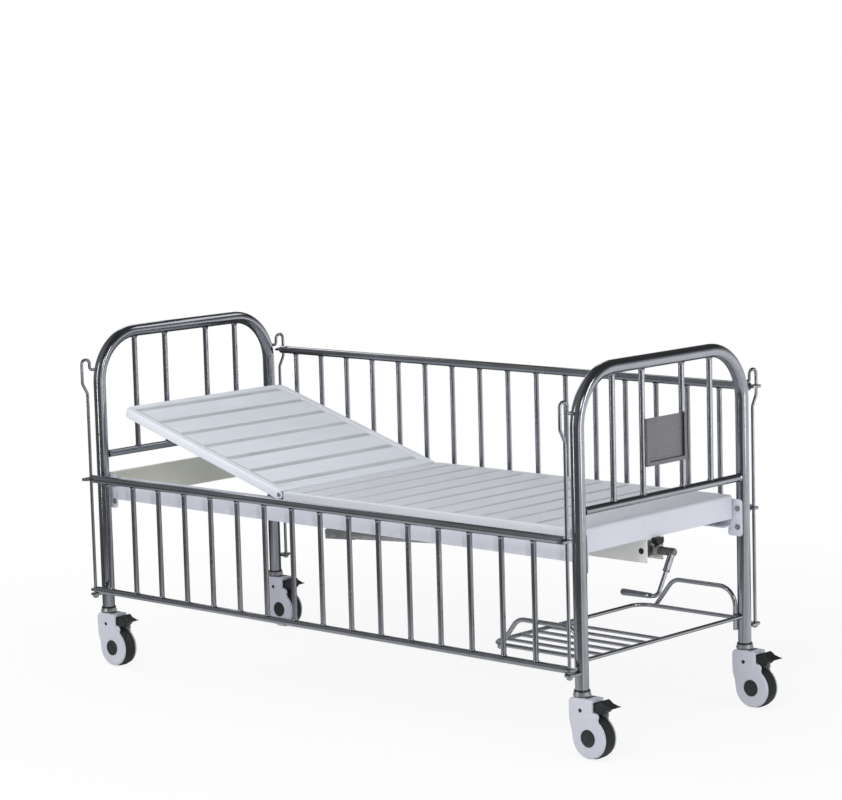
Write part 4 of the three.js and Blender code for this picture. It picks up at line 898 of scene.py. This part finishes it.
def pale_floor():
    """A pale floor that keeps a soft shadow and turns to plain white away from the cot. Polished tube finds
    the room's own light in it further out, and a dim stretch behind the head end."""
    mesh = bpy.data.meshes.new("floor")
    s = FLOOR_HALF
    mesh.from_pydata([(-s, -s, 0), (s, -s, 0), (s, s, 0), (-s, s, 0)], [], [(0, 1, 2, 3)])
    floor = bpy.data.objects.new("floor", mesh)
    bpy.context.scene.collection.objects.link(floor)
    material = bpy.data.materials.new("pale_floor")
    material.use_nodes = True
    tree = material.node_tree
    tree.nodes.clear()
    out = tree.nodes.new("ShaderNodeOutputMaterial")
    diffuse = tree.nodes.new("ShaderNodeBsdfDiffuse")
    diffuse.inputs["Color"].default_value = (FLOOR_TONE, FLOOR_TONE, FLOOR_TONE, 1)
    glow = tree.nodes.new("ShaderNodeEmission")
    place = tree.nodes.new("ShaderNodeTexCoord").outputs["Object"]
    far = vector_node(tree, "LENGTH", place)
    bright, back = (math_node(tree, "DIVIDE", vector_node(tree, "DOT_PRODUCT", place, side), far)
                    for side in (BRIGHT_SIDE, STUDIO_BACK))
    mirrored = seen_by(tree, "Is Glossy Ray")
    white = math_node(tree, "SUBTRACT", 1.0, mirrored)
    behind = vector_node(tree, "DOT_PRODUCT", place, DIM_SIDE)
    dim = math_node(tree, "MULTIPLY", rising(tree, behind, 0.59, 0.73, 0.0, 1.0),
                    rising(tree, far, 2.2, 3.0, 1.0, 0.0))
    room = math_node(tree, "MULTIPLY", room_level(tree, bright, back), rising(tree, dim, 0.0, 1.0, 1.0, 0.1))
    level = math_node(tree, "MULTIPLY", mirrored, room)
    tree.links.new(math_node(tree, "ADD", white, level), glow.inputs["Strength"])
    direct = math_node(tree, "MULTIPLY", seen_by(tree, "Is Camera Ray", "Is Transmission Ray"),
                       rising(tree, far, 0.9, 2.6, 0.86, 1.0))
    outer = math_node(tree, "MAXIMUM", dim, rising(tree, far, 0.8, 2.0, 0.0, 1.0))
    mirrored = math_node(tree, "MULTIPLY", mirrored, outer)
    blend(tree, math_node(tree, "MAXIMUM", direct, mirrored), diffuse, glow, out)
    mesh.materials.append(material)


def studio_world():
    """White to the camera, the room's own light fading to a dim ceiling in polished tube, and an even soft
    light on everything else."""
    world = bpy.data.worlds.new("studio")
    bpy.context.scene.world = world
    world.use_nodes = True
    tree = world.node_tree
    tree.nodes.clear()
    out = tree.nodes.new("ShaderNodeOutputWorld")
    place = tree.nodes.new("ShaderNodeTexCoord").outputs["Generated"]
    split = tree.nodes.new("ShaderNodeSeparateXYZ")
    tree.links.new(place, split.inputs[0])
    bright, back = (vector_node(tree, "DOT_PRODUCT", place, side) for side in (BRIGHT_SIDE, STUDIO_BACK))
    walls = math_node(tree, "MULTIPLY", room_level(tree, bright, back),
                      rising(tree, split.outputs["Z"], -0.3, 0.55, 1.0, 0.0))
    walls = math_node(tree, "MAXIMUM", walls, rising(tree, bright, -0.75, 0.1, 0.33, 0.085))
    room = tree.nodes.new("ShaderNodeBackground")
    room.inputs["Color"].default_value = (1, 1, 1, 1)
    seen = seen_by(tree, "Is Camera Ray", "Is Transmission Ray")
    tree.links.new(math_node(tree, "MAXIMUM", seen, walls), room.inputs["Strength"])
    soft = tree.nodes.new("ShaderNodeBackground")
    soft.inputs["Color"].default_value = (0.505, 0.51, 0.52, 1)
    blend(tree, seen_by(tree, "Is Camera Ray", "Is Glossy Ray", "Is Transmission Ray"), soft, room, out)


def lamp(name, place, aim, size, watts, mirrored=True, lights=True):
    """A soft rectangular lamp that looks from its place towards a point. One that is not mirrored is left out
    of polished tube, and one that lights nothing is seen there alone."""
    data = bpy.data.lights.new(name, "AREA")
    data.shape = "RECTANGLE"
    data.size, data.size_y = size
    data.energy = watts
    obj = bpy.data.objects.new(name, data)
    back = np.asarray(place, float) - np.asarray(aim, float)
    obj.location = place
    obj.rotation_euler = Vector(back).to_track_quat("Z", "Y").to_euler()
    obj.visible_camera = False
    obj.visible_glossy = mirrored
    obj.visible_diffuse = lights
    bpy.context.scene.collection.objects.link(obj)


pale_floor()
studio_world()
lamp("key_softbox", (1.6, -3.8, 3.3), (0, 0, 0.5), (1.6, 1.6), 80, mirrored=False)
lamp("head_softbox", (-3.0, -0.6, 3.0), (-0.3, 0, 0.6), (1.4, 1.0), 28, mirrored=False)
lamp("foot_softbox", (4.2, -1.6, 2.3), (0, 0, 0.5), (1.0, 1.0), 13)
lamp("foot_strip", (3.6, 0.4, 1.3), (0.2, 0, 0.5), (0.35, 2.5), 21)
lamp("near_strip", (-0.9, -3.6, 1.25), (0, 0, 0.5), (0.35, 2.5), 22)
lamp("head_panel", (-0.4, 0.86, 1.7), (-0.84, 0, 0.86), (0.9, 0.42), 2.1, lights=False)
lamp("rail_panel", (-1.85, 0.65, 1.75), (-0.7, 0.34, 0.79), (0.7, 0.9), 4.4, lights=False)


def photo_camera():
    """The camera at the photographed angle: turned round the cot, raised and rolled by three angles in
    degrees, set back from its target in metres, with its focal length and the frame's width in pixels."""
    az, el, roll = math.radians(43.06), math.radians(7.34), math.radians(-1.56)
    distance, focal, width, sensor = 7.007, 2851, 842, 36.0
    back = np.array([math.sin(az) * math.cos(el), -math.cos(az) * math.cos(el), math.sin(el)])
    right = np.array([math.cos(az), math.sin(az), 0.0])
    up = np.cross(back, right)
    r = math.cos(roll) * right + math.sin(roll) * up
    u = -math.sin(roll) * right + math.cos(roll) * up
    target = np.array([0.0478, 0.0023, 0.7174]) + SHIFT
    place = target + back * distance
    data = bpy.data.cameras.new("photo_camera")
    data.sensor_width = sensor
    data.lens = focal * sensor / width
    camera = bpy.data.objects.new("photo_camera", data)
    rows = np.column_stack([r, u, back, place])
    camera.matrix_world = Matrix([*rows.tolist(), [0, 0, 0, 1]])
    bpy.context.scene.collection.objects.link(camera)
    bpy.context.scene.camera = camera


photo_camera()
bpy.context.scene.view_settings.view_transform = "Standard"

low, high = cad_box
